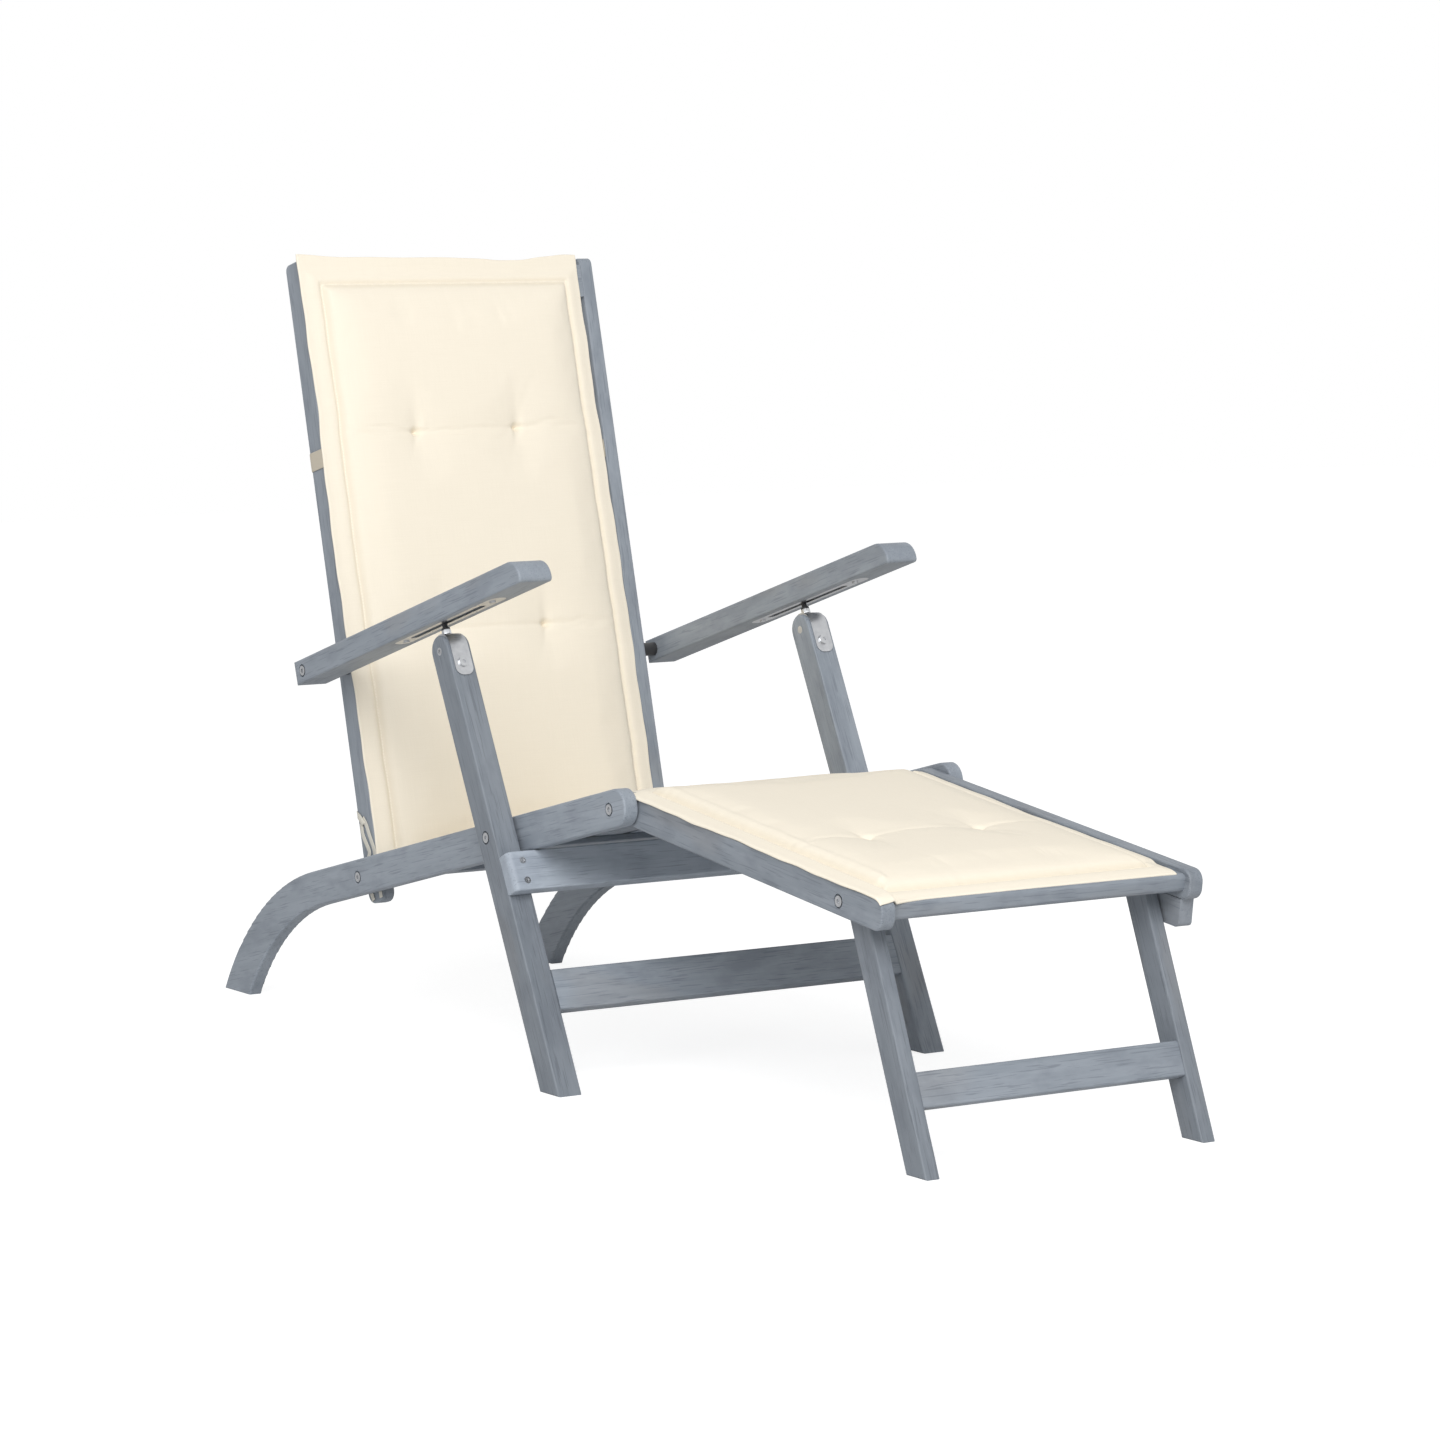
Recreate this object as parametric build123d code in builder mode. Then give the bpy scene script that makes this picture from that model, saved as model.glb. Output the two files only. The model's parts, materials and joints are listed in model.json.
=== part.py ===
from build123d import *
import os
from math import asin, cos, degrees, radians, sin, sqrt, tan

os.makedirs("parts", exist_ok=True)

# A folding deck chair with a long footrest. It stands on z = 0, the sitter looks along +Y,
# and +X is the sitter's right. Each tilted frame is measured from the pivot that carries it:
# along its length, and square to that. Lengths are millimetres, angles degrees.

# How the frames lean
rail_pitch = 14.28          # the seat rises towards its front
back_lean = 14.7            # from upright, backwards
arm_pitch = 17.3
leg_lean = 26.5             # front legs, from upright, foot forward
foot_pitch = -6.85          # the footrest falls towards its end
foot_leg_lean = 22.2

# Where the frames turn on each other
back_pivot_height = 199
leg_pivot_along = 403.5     # along the side rail, from the back's pivot
foot_pivot_along = 634.6    # along the side rail
arm_pivot_along = 275.6     # along the back stile
arm_pivot_ahead = 7         # of the stile's middle line, towards the sitter
foot_leg_pivot_along = 454.7  # along the footrest rail
foot_leg_pivot_drop = 2     # the hole sits a little under the rail's middle

# Boards, and how they stack outwards from the middle plane
board = 20                  # thickness of rails, stiles, stretchers and footrest legs
arris = 2.5                 # rounding of the boards' long corners
rail_inside = 231.5         # from the middle plane to the side rail's inner face
stile_gap = 2.5             # washer space between side rail and back stile
foot_rail_gap = 1.5         # between side rail and footrest rail
foot_leg_gap = 2.5          # between footrest rail and footrest leg
leg_gap = 4.5               # washer space between side rail and front leg
arm_lap = 1.5               # the armrest's inner face lies this far inside the rail's outer face

# Side rail and the rear leg that its tail bends down into
rail_depth = 46
rail_nose = 36              # past the footrest's pivot
rail_nose_radius = 22
heel_arc_start, heel_arc_radius = 125.5, 391    # upper edge, behind the back's pivot
instep_arc_start, instep_arc_radius = 111, 333  # lower edge

# Front leg frame
leg_depth = 39.5
leg_thickness = 34
leg_head_along = 248        # middle of the leg's round head, above its pivot
apron_depth = 51
stop_gap = 0.4              # apron's corner to the underside of the side rail
stretcher_start, stretcher_depth = 181.6, 52.2

# Back frame
stile_depth = 37
stile_tail = 36             # below the pivot
stile_top = 822
stile_corner, stile_tail_corner = 9, 14

# Armrest, and the slotted plate under it
arm_width = 47
arm_thickness = 30.5
arm_tail = 27
arm_reach = 571
arm_nose_radius, arm_chin_radius, arm_tail_radius = 25, 5, 5
arm_tail_plan_radius = 13   # seen from above
plate_start, plate_length, plate_width, plate_thickness = 221, 262, 24, 2
slot_start, slot_length, slot_width = 255, 184, 9.5
slot_pocket_depth = 20.5

# Bracket over the head of the front leg, and the stud that stands in the slot
bracket_width, bracket_thickness = 25, 2
bracket_front_tab, bracket_rear_tab = 40, 8
bracket_screw_drop = 23
stud_radius, stud_top = 3.5, 49
stud_nut_radius, stud_nut_height = 6, 6
stud_flange_radius, stud_flange_height = 5.5, 2.5
dowel_radius = 5            # cross dowel in the leg's head, that the stud screws into

# Footrest
foot_rail_depth = 37
foot_rail_reach = 540
foot_rail_corner = 15
foot_leg_depth = 36
foot_stretcher_start, foot_stretcher_depth = 206.7, 42
foot_stretcher_thickness, foot_stretcher_setback = 18, 2
stop_block_length, stop_block_height, stop_block_setback = 45, 34.5, 15
block_corner = 6

# Slatted panels: seat, back and footrest
slat_thickness = 11
slat_width, slat_space = 40, 13.5
batten_width, batten_thickness = 30, 8
panel_corner, panel_arris = 4, 1.5
slat_end_gap = 0.5
seat_bar_width, seat_bar_thickness = 35, 18
seat_level = 6              # slat tops over the side rail's middle line
seat_start = 66
seat_end = foot_pivot_along - 24.6
seat_slats = 8
back_bar_width = 45
back_start, back_end = 92, 812
back_slats = 7
foot_bar_width, foot_bar_thickness, foot_bar_nose = 36, 21.5, 6
foot_level = 13             # slat tops over the footrest rail's middle line
foot_start, foot_end = 25, 530
foot_slats = 7
rebate = 14                 # ledge in a bar that a slat's end lies on
slat_screw_radius, slat_screw_head_radius, slat_screw_inset = 2, 4, 7

# Fasteners
bolt_radius = 4
bolt_head_radius, bolt_head_height = 6.5, 3
head_recess_radius = 8.5     # the sinking that holds a bolt's head level with the wood
socket_radius, socket_depth = 3, 2
washer_radius = 9
fit = 0.06                  # round a shank in its hole
nut_radius, nut_height = 6, 4
seating = 0.3               # a soft piece off what it lies on
overrun = 2                 # cuts run this far past the face
face_screw_radius, face_screw_head_radius = 2.5, 4.5
face_screw_bite = 22        # length in the leg
face_screw_head_height = 2.5
bracket_screw_head_radius = 6.5
plate_screw_head_radius, plate_screw_length = 4, 12
slat_screw_length, slat_screw_head_height = 15, 2
apron_screw_inset, apron_screw_spacing, apron_end_radius = 20, 26, 8

# Cushion: one long pad, sewn in three lengths
cushion_half_width = 216.5
cushion_shift = 11.5        # it lies a little towards the sitter's right
cushion_border = 22         # from the edge to the border seam
cushion_edge, cushion_seam_height, cushion_crown = 4, 13, 24
cushion_waist = 1           # how far the sides draw in between the corners
cushion_bulge = 1.5         # roundness of the edge
pad_flat = 184              # beyond this the base can ride up on what lies beside the slats
foot_leg_lift = 3.2         # over the heads of the footrest's legs
least_sag = 0.2
crown_run_share = (0.1, 0.25, 0.5)      # of the length, and of the crown's height
crown_share = (0.5, 0.9, 1)
back_cushion_start, back_cushion_end = 8, 829
seat_cushion_start = 51
seat_cushion_end = seat_end + 4
leg_cushion_start, leg_cushion_end = 13, 527
seam_depth, seam_width = 2, 5
tuft_side = 80              # from the pad's own middle line
tuft_radius, tuft_depth = 26, 9
back_tufts = (322, 596)
seat_tufts = (332,)
leg_tufts = (302,)

# Tapes that hold the pad to the back
band_width, band_thickness, band_along = 25, 1.2, 555
tie_width, tie_along = 9, 81
tail_width, tail_end = 5, -31
tail_spread = (-13, 14.5)   # the loose ends pass either side of the pivot's washer


def turned(pivot, pitch, along, across):
    """The (y, z) of a point measured along a member and square to it."""
    c, s = cos(radians(pitch)), sin(radians(pitch))
    return (pivot[0] + along * c - across * s, pivot[1] + along * s + across * c)


def side_plane(x, pivot, pitch):
    """A member's side view: local x runs along it, local y square to it, +X looks out."""
    direction = (0, cos(radians(pitch)), sin(radians(pitch)))
    return Plane(origin=(x, *pivot), x_dir=direction, z_dir=(1, 0, 0))


def face_plane(pivot, pitch, across=1):
    """A panel's face view: local y runs along the panel, and the sitter's side is up."""
    lean = radians(pitch)
    outward = (0, -across * sin(lean), across * cos(lean))
    return Plane(origin=(0, *pivot), x_dir=(across, 0, 0), z_dir=outward)


def keep(piece, name):
    """Name a finished piece and write it."""
    piece.part.label = name
    export_step(piece.part, f"parts/{name}.step")


def bore(point, x_near, x_far, radius):
    """Cut a round hole along X through (y, z), in the part being built."""
    middle, length = (x_near + x_far) / 2, abs(x_far - x_near)
    with Locations(Plane(origin=(middle, *point), z_dir=(1, 0, 0))):
        Cylinder(radius, length, mode=Mode.SUBTRACT)


def sink(point, side, face):
    """Cut the round sinking for a bolt's head into an outer face."""
    bore(point, side * (face - bolt_head_height), side * (face + overrun), head_recess_radius)


# Layers, outwards from the middle plane
rail_outside = rail_inside + board
stile_outside = rail_inside - stile_gap
stile_inside = stile_outside - board
foot_rail_outside = rail_inside - foot_rail_gap
foot_rail_inside = foot_rail_outside - board
foot_leg_outside = foot_rail_inside - foot_leg_gap
foot_leg_inside = foot_leg_outside - board
leg_inside = rail_outside + leg_gap
leg_outside = leg_inside + leg_thickness
arm_inside = rail_outside - arm_lap
arm_outside = arm_inside + arm_width
leg_middle = (leg_inside + leg_outside) / 2

# Pitches of the upright members, measured up from +Y like the rails' own
back_pitch = 90 + back_lean
leg_pitch = 90 + leg_lean
foot_leg_pitch = 90 + foot_leg_lean


def floor_point(pivot, pitch, across):
    """Where an upright member's edge meets the floor."""
    along = -(pivot[1] + across * cos(radians(pitch))) / sin(radians(pitch))
    return turned(pivot, pitch, along, across)


def tail_arc(pivot, edge, start, radius):
    """Centre, first angle and sweep of the arc that takes a rail's edge to the floor."""
    centre = turned(pivot, rail_pitch, -start, edge - radius)
    first = 90 + rail_pitch
    last = 180 - degrees(asin(-centre[1] / radius))
    return centre, first, last - first


def arc_end(centre, radius, angle):
    return centre[0] + radius * cos(radians(angle)), centre[1] + radius * sin(radians(angle))


# The back's pivot is placed so that heel and toe reach equally far from the origin
loose_pivot = (0, back_pivot_height)
loose_heel = tail_arc(loose_pivot, rail_depth / 2, heel_arc_start, heel_arc_radius)
heel_y = arc_end(loose_heel[0], heel_arc_radius, loose_heel[1] + loose_heel[2])[0]
loose_foot = turned(loose_pivot, rail_pitch, foot_pivot_along, 0)
loose_foot_leg = turned(loose_foot, foot_pitch, foot_leg_pivot_along, -foot_leg_pivot_drop)
toe_y = floor_point(loose_foot_leg, foot_leg_pitch, -foot_leg_depth / 2)[0]
back_pivot = (-(heel_y + toe_y) / 2, back_pivot_height)
leg_pivot = turned(back_pivot, rail_pitch, leg_pivot_along, 0)
foot_pivot = turned(back_pivot, rail_pitch, foot_pivot_along, 0)
arm_pivot = turned(back_pivot, back_pitch, arm_pivot_along, -arm_pivot_ahead)
foot_leg_pivot = turned(foot_pivot, foot_pitch, foot_leg_pivot_along, -foot_leg_pivot_drop)
leg_head = turned(leg_pivot, leg_pitch, leg_head_along, 0)
print("back pivot", back_pivot, "leg pivot", leg_pivot, "footrest pivot", foot_pivot)
print("arm pivot", arm_pivot, "footrest leg pivot", foot_leg_pivot, "leg head", leg_head)

hands = ((1, "right"), (-1, "left"))

# The apron's upper front corner comes up under the side rails and stops the legs from
# spreading further
lean_between = radians(leg_pitch - 90 - rail_pitch)
apron_face = leg_depth / 2 + board
apron_start = (rail_depth / 2 + stop_gap + apron_face * sin(lean_between)) / cos(lean_between)
apron_spots = [(side * (leg_outside - apron_screw_inset), -apron_start - apron_depth / 2
                + level * apron_screw_spacing / 2) for side in (-1, 1) for level in (-1, 1)]


# Side rails: seat rail and rear leg cut from one board
def side_rail(side, hand):
    edge = rail_depth / 2
    nose = foot_pivot_along + rail_nose
    heel, heel_first, heel_sweep = tail_arc(back_pivot, edge, heel_arc_start, heel_arc_radius)
    instep, instep_first, instep_sweep = tail_arc(
        back_pivot, -edge, instep_arc_start, instep_arc_radius)
    with BuildPart() as rail:
        with BuildSketch(Plane.YZ.offset(side * rail_inside)):
            with BuildLine():
                outer = CenterArc(heel, heel_arc_radius, heel_first, heel_sweep)
                inner = CenterArc(instep, instep_arc_radius, instep_first, instep_sweep)
                top = Line(outer @ 0, turned(back_pivot, rail_pitch, nose, edge))
                bottom = Line(inner @ 0, turned(back_pivot, rail_pitch, nose, -edge))
                Line(top @ 1, bottom @ 1)
                Line(outer @ 1, inner @ 1)
            outline = make_face()
            fillet(outline.vertices().sort_by(Axis.X)[-2:], radius=rail_nose_radius)
        extrude(amount=side * board)
        fillet(rail.faces().filter_by(Axis.X).edges(), radius=arris)
        for pivot in (back_pivot, leg_pivot, foot_pivot):
            bore(pivot, side * rail_inside - side * overrun, side * rail_outside + side * overrun,
                 bolt_radius + fit)
        for pivot in (back_pivot, foot_pivot):
            sink(pivot, side, rail_outside)
    keep(rail, f"side_rail_{hand}")


# A straight upright board with a round head, cut off level at the floor
def upright(side, hand, name, pivot, pitch, depth, head_along, inside, thickness):
    edge = depth / 2
    front, rear = floor_point(pivot, pitch, -edge), floor_point(pivot, pitch, edge)
    with BuildPart() as leg:
        with BuildSketch(Plane.YZ.offset(side * inside)):
            with BuildLine():
                rise = Line(front, turned(pivot, pitch, head_along, -edge))
                fall = Line(rear, turned(pivot, pitch, head_along, edge))
                ThreePointArc(rise @ 1, turned(pivot, pitch, head_along + edge, 0), fall @ 1)
                Line(front, rear)
            make_face()
        extrude(amount=side * thickness)
        fillet(leg.faces().filter_by(Axis.X).edges(), radius=arris)
        bore(pivot, side * inside - side * overrun, side * (inside + thickness) + side * overrun,
             bolt_radius + fit)
        if head_along:
            sink(pivot, side, inside + thickness)
            bore(leg_head, side * (inside - overrun), side * (inside + thickness + overrun),
                 dowel_radius)
            forward = face_plane(leg_head, leg_pitch, -1)
            with BuildSketch(forward.offset(leg_depth / 2)):
                with Locations((-side * leg_middle, -bracket_screw_drop)):
                    Circle(face_screw_radius)
            extrude(amount=-face_screw_bite, mode=Mode.SUBTRACT)
            with BuildSketch(Plane(origin=(side * leg_middle, *leg_head), z_dir=forward.y_dir)):
                Circle(stud_radius)
            extrude(amount=leg_depth, mode=Mode.SUBTRACT)
            with BuildSketch(face_plane(leg_pivot, leg_pitch, -1).offset(leg_depth / 2)):
                with Locations(*[spot for spot in apron_spots if spot[0] * side < 0]):
                    Circle(face_screw_radius)
            extrude(amount=-face_screw_bite, mode=Mode.SUBTRACT)
    keep(leg, f"{name}_{hand}")


for side, hand in hands:
    side_rail(side, hand)
    upright(side, hand, "front_leg", leg_pivot, leg_pitch, leg_depth, leg_head_along,
            leg_inside, leg_thickness)
    upright(side, hand, "foot_leg", foot_leg_pivot, foot_leg_pitch, foot_leg_depth, 0,
            foot_leg_inside, board)


# Back stiles: straight, rounded at the tail, softened at the top
def back_stile(side, hand):
    with BuildPart() as stile:
        length = stile_top + stile_tail
        middle = (stile_top - stile_tail) / 2
        with BuildSketch(side_plane(side * stile_inside, back_pivot, back_pitch)) as outline:
            with Locations((middle, 0)):
                Rectangle(length, stile_depth)
            fillet(outline.vertices().sort_by(Axis.X)[-2:], radius=stile_corner)
            fillet(outline.vertices().sort_by(Axis.X)[:2], radius=stile_tail_corner)
        extrude(amount=side * board)
        fillet(stile.faces().filter_by(Axis.X).edges(), radius=arris)
        for pivot in (back_pivot, arm_pivot):
            bore(pivot, side * stile_inside - side * overrun, side * stile_outside + side * overrun,
                 bolt_radius + fit)
    keep(stile, f"back_stile_{hand}")


# Footrest rails: round at the hinge, softened at the far end
def foot_rail(side, hand):
    tail = foot_rail_depth / 2
    with BuildPart() as rail:
        with BuildSketch(side_plane(side * foot_rail_inside, foot_pivot, foot_pitch)):
            with BuildLine():
                top = Line((0, tail), (foot_rail_reach, tail))
                bottom = Line((0, -tail), (foot_rail_reach, -tail))
                Line(top @ 1, bottom @ 1)
                ThreePointArc(top @ 0, (-tail, 0), bottom @ 0)
            outline = make_face()
            fillet(outline.vertices().sort_by(Axis.X)[-2:], radius=foot_rail_corner)
        extrude(amount=side * board)
        fillet(rail.faces().filter_by(Axis.X).edges(), radius=arris)
        for pivot in (foot_pivot, foot_leg_pivot):
            bore(pivot, side * foot_rail_inside - side * overrun,
                 side * foot_rail_outside + side * overrun, bolt_radius + fit)
        sink(foot_leg_pivot, side, foot_rail_outside)
    keep(rail, f"foot_rail_{hand}")


# Armrests: a thick board with a bull nose, a recess for the plate and a pocket for the stud
def armrest(side, hand):
    under = -arm_thickness / 2
    plate_middle = plate_start + plate_length / 2
    slot_middle = slot_start + slot_length / 2
    with BuildPart() as arm:
        with BuildSketch(side_plane(side * arm_inside, arm_pivot, arm_pitch)) as outline:
            with Locations(((arm_reach - arm_tail) / 2, 0)):
                Rectangle(arm_reach + arm_tail, arm_thickness)
            fillet(outline.vertices().sort_by(Axis.X)[:2], radius=arm_tail_radius)
            chin = outline.vertices().sort_by(Axis.Y)[:2].sort_by(Axis.X)[-1:]
            fillet(chin, radius=arm_chin_radius)
            nose = outline.vertices().sort_by(Axis.Y)[-2:].sort_by(Axis.X)[-1:]
            fillet(nose, radius=arm_nose_radius)
        extrude(amount=side * arm_width)
        fillet(arm.faces().filter_by(Axis.X).edges(), radius=arris)
        with BuildSketch(face_plane(arm_pivot, arm_pitch).offset(-arm_thickness)) as plan:
            with Locations((side * (arm_inside + arm_width / 2), (arm_reach - arm_tail) / 2)):
                Rectangle(arm_width, arm_reach + arm_tail)
            fillet(plan.vertices().sort_by(Axis.Y)[:2], radius=arm_tail_plan_radius)
        extrude(amount=2 * arm_thickness, mode=Mode.INTERSECT)
        with BuildSketch(face_plane(arm_pivot, arm_pitch).offset(under)):
            with Locations((side * leg_middle, plate_middle)):
                SlotOverall(plate_length + seating, plate_width + seating, rotation=90)
        extrude(amount=plate_thickness, mode=Mode.SUBTRACT)
        with BuildSketch(face_plane(arm_pivot, arm_pitch).offset(under)):
            with Locations((side * leg_middle, slot_middle)):
                SlotOverall(slot_length, slot_width, rotation=90)
        extrude(amount=slot_pocket_depth, mode=Mode.SUBTRACT)
        with BuildSketch(face_plane(arm_pivot, arm_pitch).offset(under)):
            with Locations(*plate_screw_spots(side)):
                Circle(slat_screw_radius)
        extrude(amount=plate_screw_length, mode=Mode.SUBTRACT)
        bore(arm_pivot, side * arm_inside - side * overrun, side * arm_outside + side * overrun,
             bolt_radius + fit)
        sink(arm_pivot, side, arm_outside)
    keep(arm, f"armrest_{hand}")


def plate_screw_spots(side):
    """The plate's two screws, one beyond each end of the slot."""
    rear_spot = (plate_start + slot_start) / 2
    front_spot = (plate_start + plate_length + slot_start + slot_length) / 2
    return (side * leg_middle, rear_spot), (side * leg_middle, front_spot)


def slot_plate(side, hand):
    with BuildPart() as plate:
        with BuildSketch(face_plane(arm_pivot, arm_pitch).offset(-arm_thickness / 2)):
            with Locations((side * leg_middle, plate_start + plate_length / 2)):
                SlotOverall(plate_length, plate_width, rotation=90)
            with Locations((side * leg_middle, slot_start + slot_length / 2)):
                SlotOverall(slot_length, slot_width, rotation=90, mode=Mode.SUBTRACT)
            with Locations(*plate_screw_spots(side)):
                Circle(slat_screw_radius, mode=Mode.SUBTRACT)
        extrude(amount=plate_thickness)
    keep(plate, f"slot_plate_{hand}")
    with BuildPart(face_plane(arm_pivot, arm_pitch).offset(-arm_thickness / 2)) as screws:
        with Locations(*plate_screw_spots(side)):
            Cylinder(plate_screw_head_radius, plate_thickness,
                     align=(Align.CENTER, Align.CENTER, Align.MAX))
            Cylinder(slat_screw_radius, plate_screw_length,
                     align=(Align.CENTER, Align.CENTER, Align.MIN))
    keep(screws, f"slot_plate_screws_{hand}")


for side, hand in hands:
    back_stile(side, hand)
    foot_rail(side, hand)
    armrest(side, hand)
    slot_plate(side, hand)


# Bracket: a strip bent over the leg's head and screwed to its front
def leg_bracket(side, hand):
    inner, outer = leg_depth / 2, leg_depth / 2 + bracket_thickness
    strip_inside = leg_middle - bracket_width / 2
    screw_height = -bracket_screw_drop
    with BuildPart() as bracket:
        with BuildSketch(side_plane(side * strip_inside, leg_head, leg_pitch)):
            with BuildLine():
                front_in = Line((-bracket_front_tab, -inner), (0, -inner))
                rear_in = Line((-bracket_rear_tab, inner), (0, inner))
                front_out = Line((-bracket_front_tab, -outer), (0, -outer))
                rear_out = Line((-bracket_rear_tab, outer), (0, outer))
                ThreePointArc(front_in @ 1, (inner, 0), rear_in @ 1)
                ThreePointArc(front_out @ 1, (outer, 0), rear_out @ 1)
                Line(front_in @ 0, front_out @ 0)
                Line(rear_in @ 0, rear_out @ 0)
            make_face()
        extrude(amount=side * bracket_width)
        tab_end = bracket.faces().sort_by(Axis.Z)[0]
        fillet(tab_end.edges().filter_by(Axis.X, reverse=True), radius=bracket_width / 2 - arris)
        forward = face_plane(leg_head, leg_pitch, -1).offset(inner)
        with BuildSketch(forward):
            with Locations((-side * leg_middle, screw_height)):
                Circle(face_screw_radius)
        extrude(amount=bracket_thickness, mode=Mode.SUBTRACT)
        with BuildSketch(Plane(face_plane(leg_head, leg_pitch, -1).origin
                               + Vector(side * leg_middle, 0, 0),
                               z_dir=side_plane(0, leg_head, leg_pitch).x_dir)):
            Circle(stud_radius)
        extrude(amount=outer + overrun, mode=Mode.SUBTRACT)
    keep(bracket, f"leg_bracket_{hand}")


# Studs that stand out of the legs' heads, along the legs, into the armrests' slots
with BuildPart() as stop_studs:
    stud_seat = leg_depth / 2 + bracket_thickness
    for side, hand in hands:
        base = Plane(origin=(side * leg_middle, *leg_head),
                     z_dir=side_plane(0, leg_head, leg_pitch).x_dir)
        with BuildSketch(base.offset(dowel_radius)):
            Circle(stud_radius)
        extrude(amount=stud_top - dowel_radius)
        with BuildSketch(base.offset(stud_seat)):
            RegularPolygon(stud_nut_radius, side_count=6)
        extrude(amount=stud_nut_height)
        with BuildSketch(base.offset(stud_seat + stud_nut_height)):
            Circle(stud_flange_radius)
        extrude(amount=stud_flange_height)
    tips = stop_studs.edges().filter_by(GeomType.CIRCLE).group_by(Axis.Z)[-1]
    fillet(tips, radius=stud_radius / 2)
keep(stop_studs, "stop_studs")

for side, hand in hands:
    leg_bracket(side, hand)


# Shared ways of making the pieces that repeat
def drill(plane, spots, radius, depth):
    """Cut blind round holes into the part being built, down from a plane."""
    with Locations(plane.offset(-depth / 2)):
        with Locations(*spots):
            Cylinder(radius, depth, mode=Mode.SUBTRACT)


def sunk_screw_holes(plane, spots, head_radius, head_height, radius, length):
    drill(plane, spots, head_radius, head_height)
    drill(plane, spots, radius, length)


def screws(name, planes_and_spots, head_radius, head_height, radius, length, sunk):
    """A group of straight screws, their heads sunk level or standing on the plane."""
    top = 0 if sunk else head_height
    with BuildPart() as group:
        for plane, spots in planes_and_spots:
            with BuildSketch(plane.offset(top)):
                with Locations(*spots):
                    Circle(head_radius)
            extrude(amount=-head_height)
            with BuildSketch(plane.offset(top - head_height)):
                with Locations(*spots):
                    Circle(radius)
            extrude(amount=-(length - head_height if sunk else length))
            with BuildSketch(plane.offset(top)):
                with Locations(*spots):
                    RegularPolygon(radius, side_count=6)
            extrude(amount=-head_height / 2, mode=Mode.SUBTRACT)
    keep(group, name)


def pivot_bolts(name, pivot, head_face, nut_face):
    """A low round-headed bolt in each side of the frame, and its nut."""
    with BuildPart() as bolts:
        for side, hand in hands:
            outer = Plane(origin=(side * (head_face - bolt_head_height), *pivot), z_dir=(side, 0, 0))
            with BuildSketch(outer):
                Circle(bolt_head_radius)
            extrude(amount=bolt_head_height)
            with BuildSketch(outer):
                Circle(bolt_radius)
            extrude(amount=-(head_face - bolt_head_height - nut_face + nut_height))
            with BuildSketch(outer.offset(bolt_head_height)):
                RegularPolygon(socket_radius, side_count=6)
            extrude(amount=-socket_depth, mode=Mode.SUBTRACT)
    keep(bolts, f"{name}_bolts")
    with BuildPart() as nuts:
        for side, hand in hands:
            with BuildSketch(Plane(origin=(side * nut_face, *pivot), z_dir=(-side, 0, 0))):
                RegularPolygon(nut_radius, side_count=6)
                Circle(bolt_radius, mode=Mode.SUBTRACT)
            extrude(amount=nut_height)
    keep(nuts, f"{name}_nuts")


def washers(name, pivot, outer_face, inner_face):
    """The spacer that fills the gap between two members, in each side of the frame."""
    with BuildPart() as rings:
        for side, hand in hands:
            with BuildSketch(Plane(origin=(side * inner_face, *pivot), z_dir=(side, 0, 0))):
                Circle(washer_radius)
                Circle(bolt_radius + fit, mode=Mode.SUBTRACT)
            extrude(amount=outer_face - inner_face)
    keep(rings, name)


def slat_spots(count, start, end):
    """Where the slats' end screws stand in the panel's face view."""
    pitch = slat_width + slat_space
    places = [(index - (count - 1) / 2) * pitch for index in range(count)]
    return [(x, y) for x in places for y in (start + slat_screw_inset, end - slat_screw_inset)]


def slats(name, top, count, start, end):
    """Parallel slats, level on top with the bars that hold their ends."""
    with BuildPart() as boards:
        with BuildSketch(top.offset(-slat_thickness)):
            with Locations((0, (start + end) / 2)):
                with GridLocations(slat_width + slat_space, 0, count, 1):
                    RectangleRounded(slat_width, end - start, panel_corner)
        extrude(amount=slat_thickness)
        flats = boards.faces().filter_by(Axis((0, 0, 0), top.z_dir))
        fillet(flats.edges(), radius=panel_arris)
        sunk_screw_holes(top, slat_spots(count, start, end), slat_screw_head_radius,
                         slat_screw_head_height, slat_screw_radius, slat_thickness + overrun)
    keep(boards, name)


def bar(name, top, half_span, start, width, thickness, ledge, count, nose=panel_arris):
    """A cross bar between two members, rebated on one edge for the slats' ends."""
    panel_width = count * slat_width + (count - 1) * slat_space + 2 * slat_end_gap
    middle = start + width / 2
    with BuildPart() as piece:
        with BuildSketch(top.offset(-thickness)):
            with Locations((0, middle)):
                Rectangle(2 * half_span, width)
        extrude(amount=thickness)
        long_edges = piece.edges().filter_by(Axis.X).sort_by(Axis((0, 0, 0), top.y_dir))
        outer_edges = long_edges[-2:] if ledge < 0 else long_edges[:2]
        fillet(outer_edges, radius=nose)
        with BuildSketch(top.offset(-slat_thickness)):
            with Locations((0, middle + ledge * (width - rebate) / 2)):
                Rectangle(panel_width, rebate)
        extrude(amount=slat_thickness, mode=Mode.SUBTRACT)
        inset = rebate - slat_end_gap - slat_screw_inset
        row = start + width - inset if ledge > 0 else start + inset
        spots = [(x, row) for x, y in slat_spots(count, 0, 0)[::2]]
        drill(top, spots, slat_screw_radius, slat_screw_length)
    keep(piece, name)


def batten(name, top, half_span, middle):
    """A plain cross batten that backs the slats half way."""
    with BuildPart() as piece:
        with BuildSketch(top.offset(-slat_thickness - batten_thickness)):
            with Locations((0, middle)):
                Rectangle(2 * half_span, batten_width)
        extrude(amount=batten_thickness)
        fillet(piece.edges().filter_by(Axis.X), radius=panel_arris)
    keep(piece, name)


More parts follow.
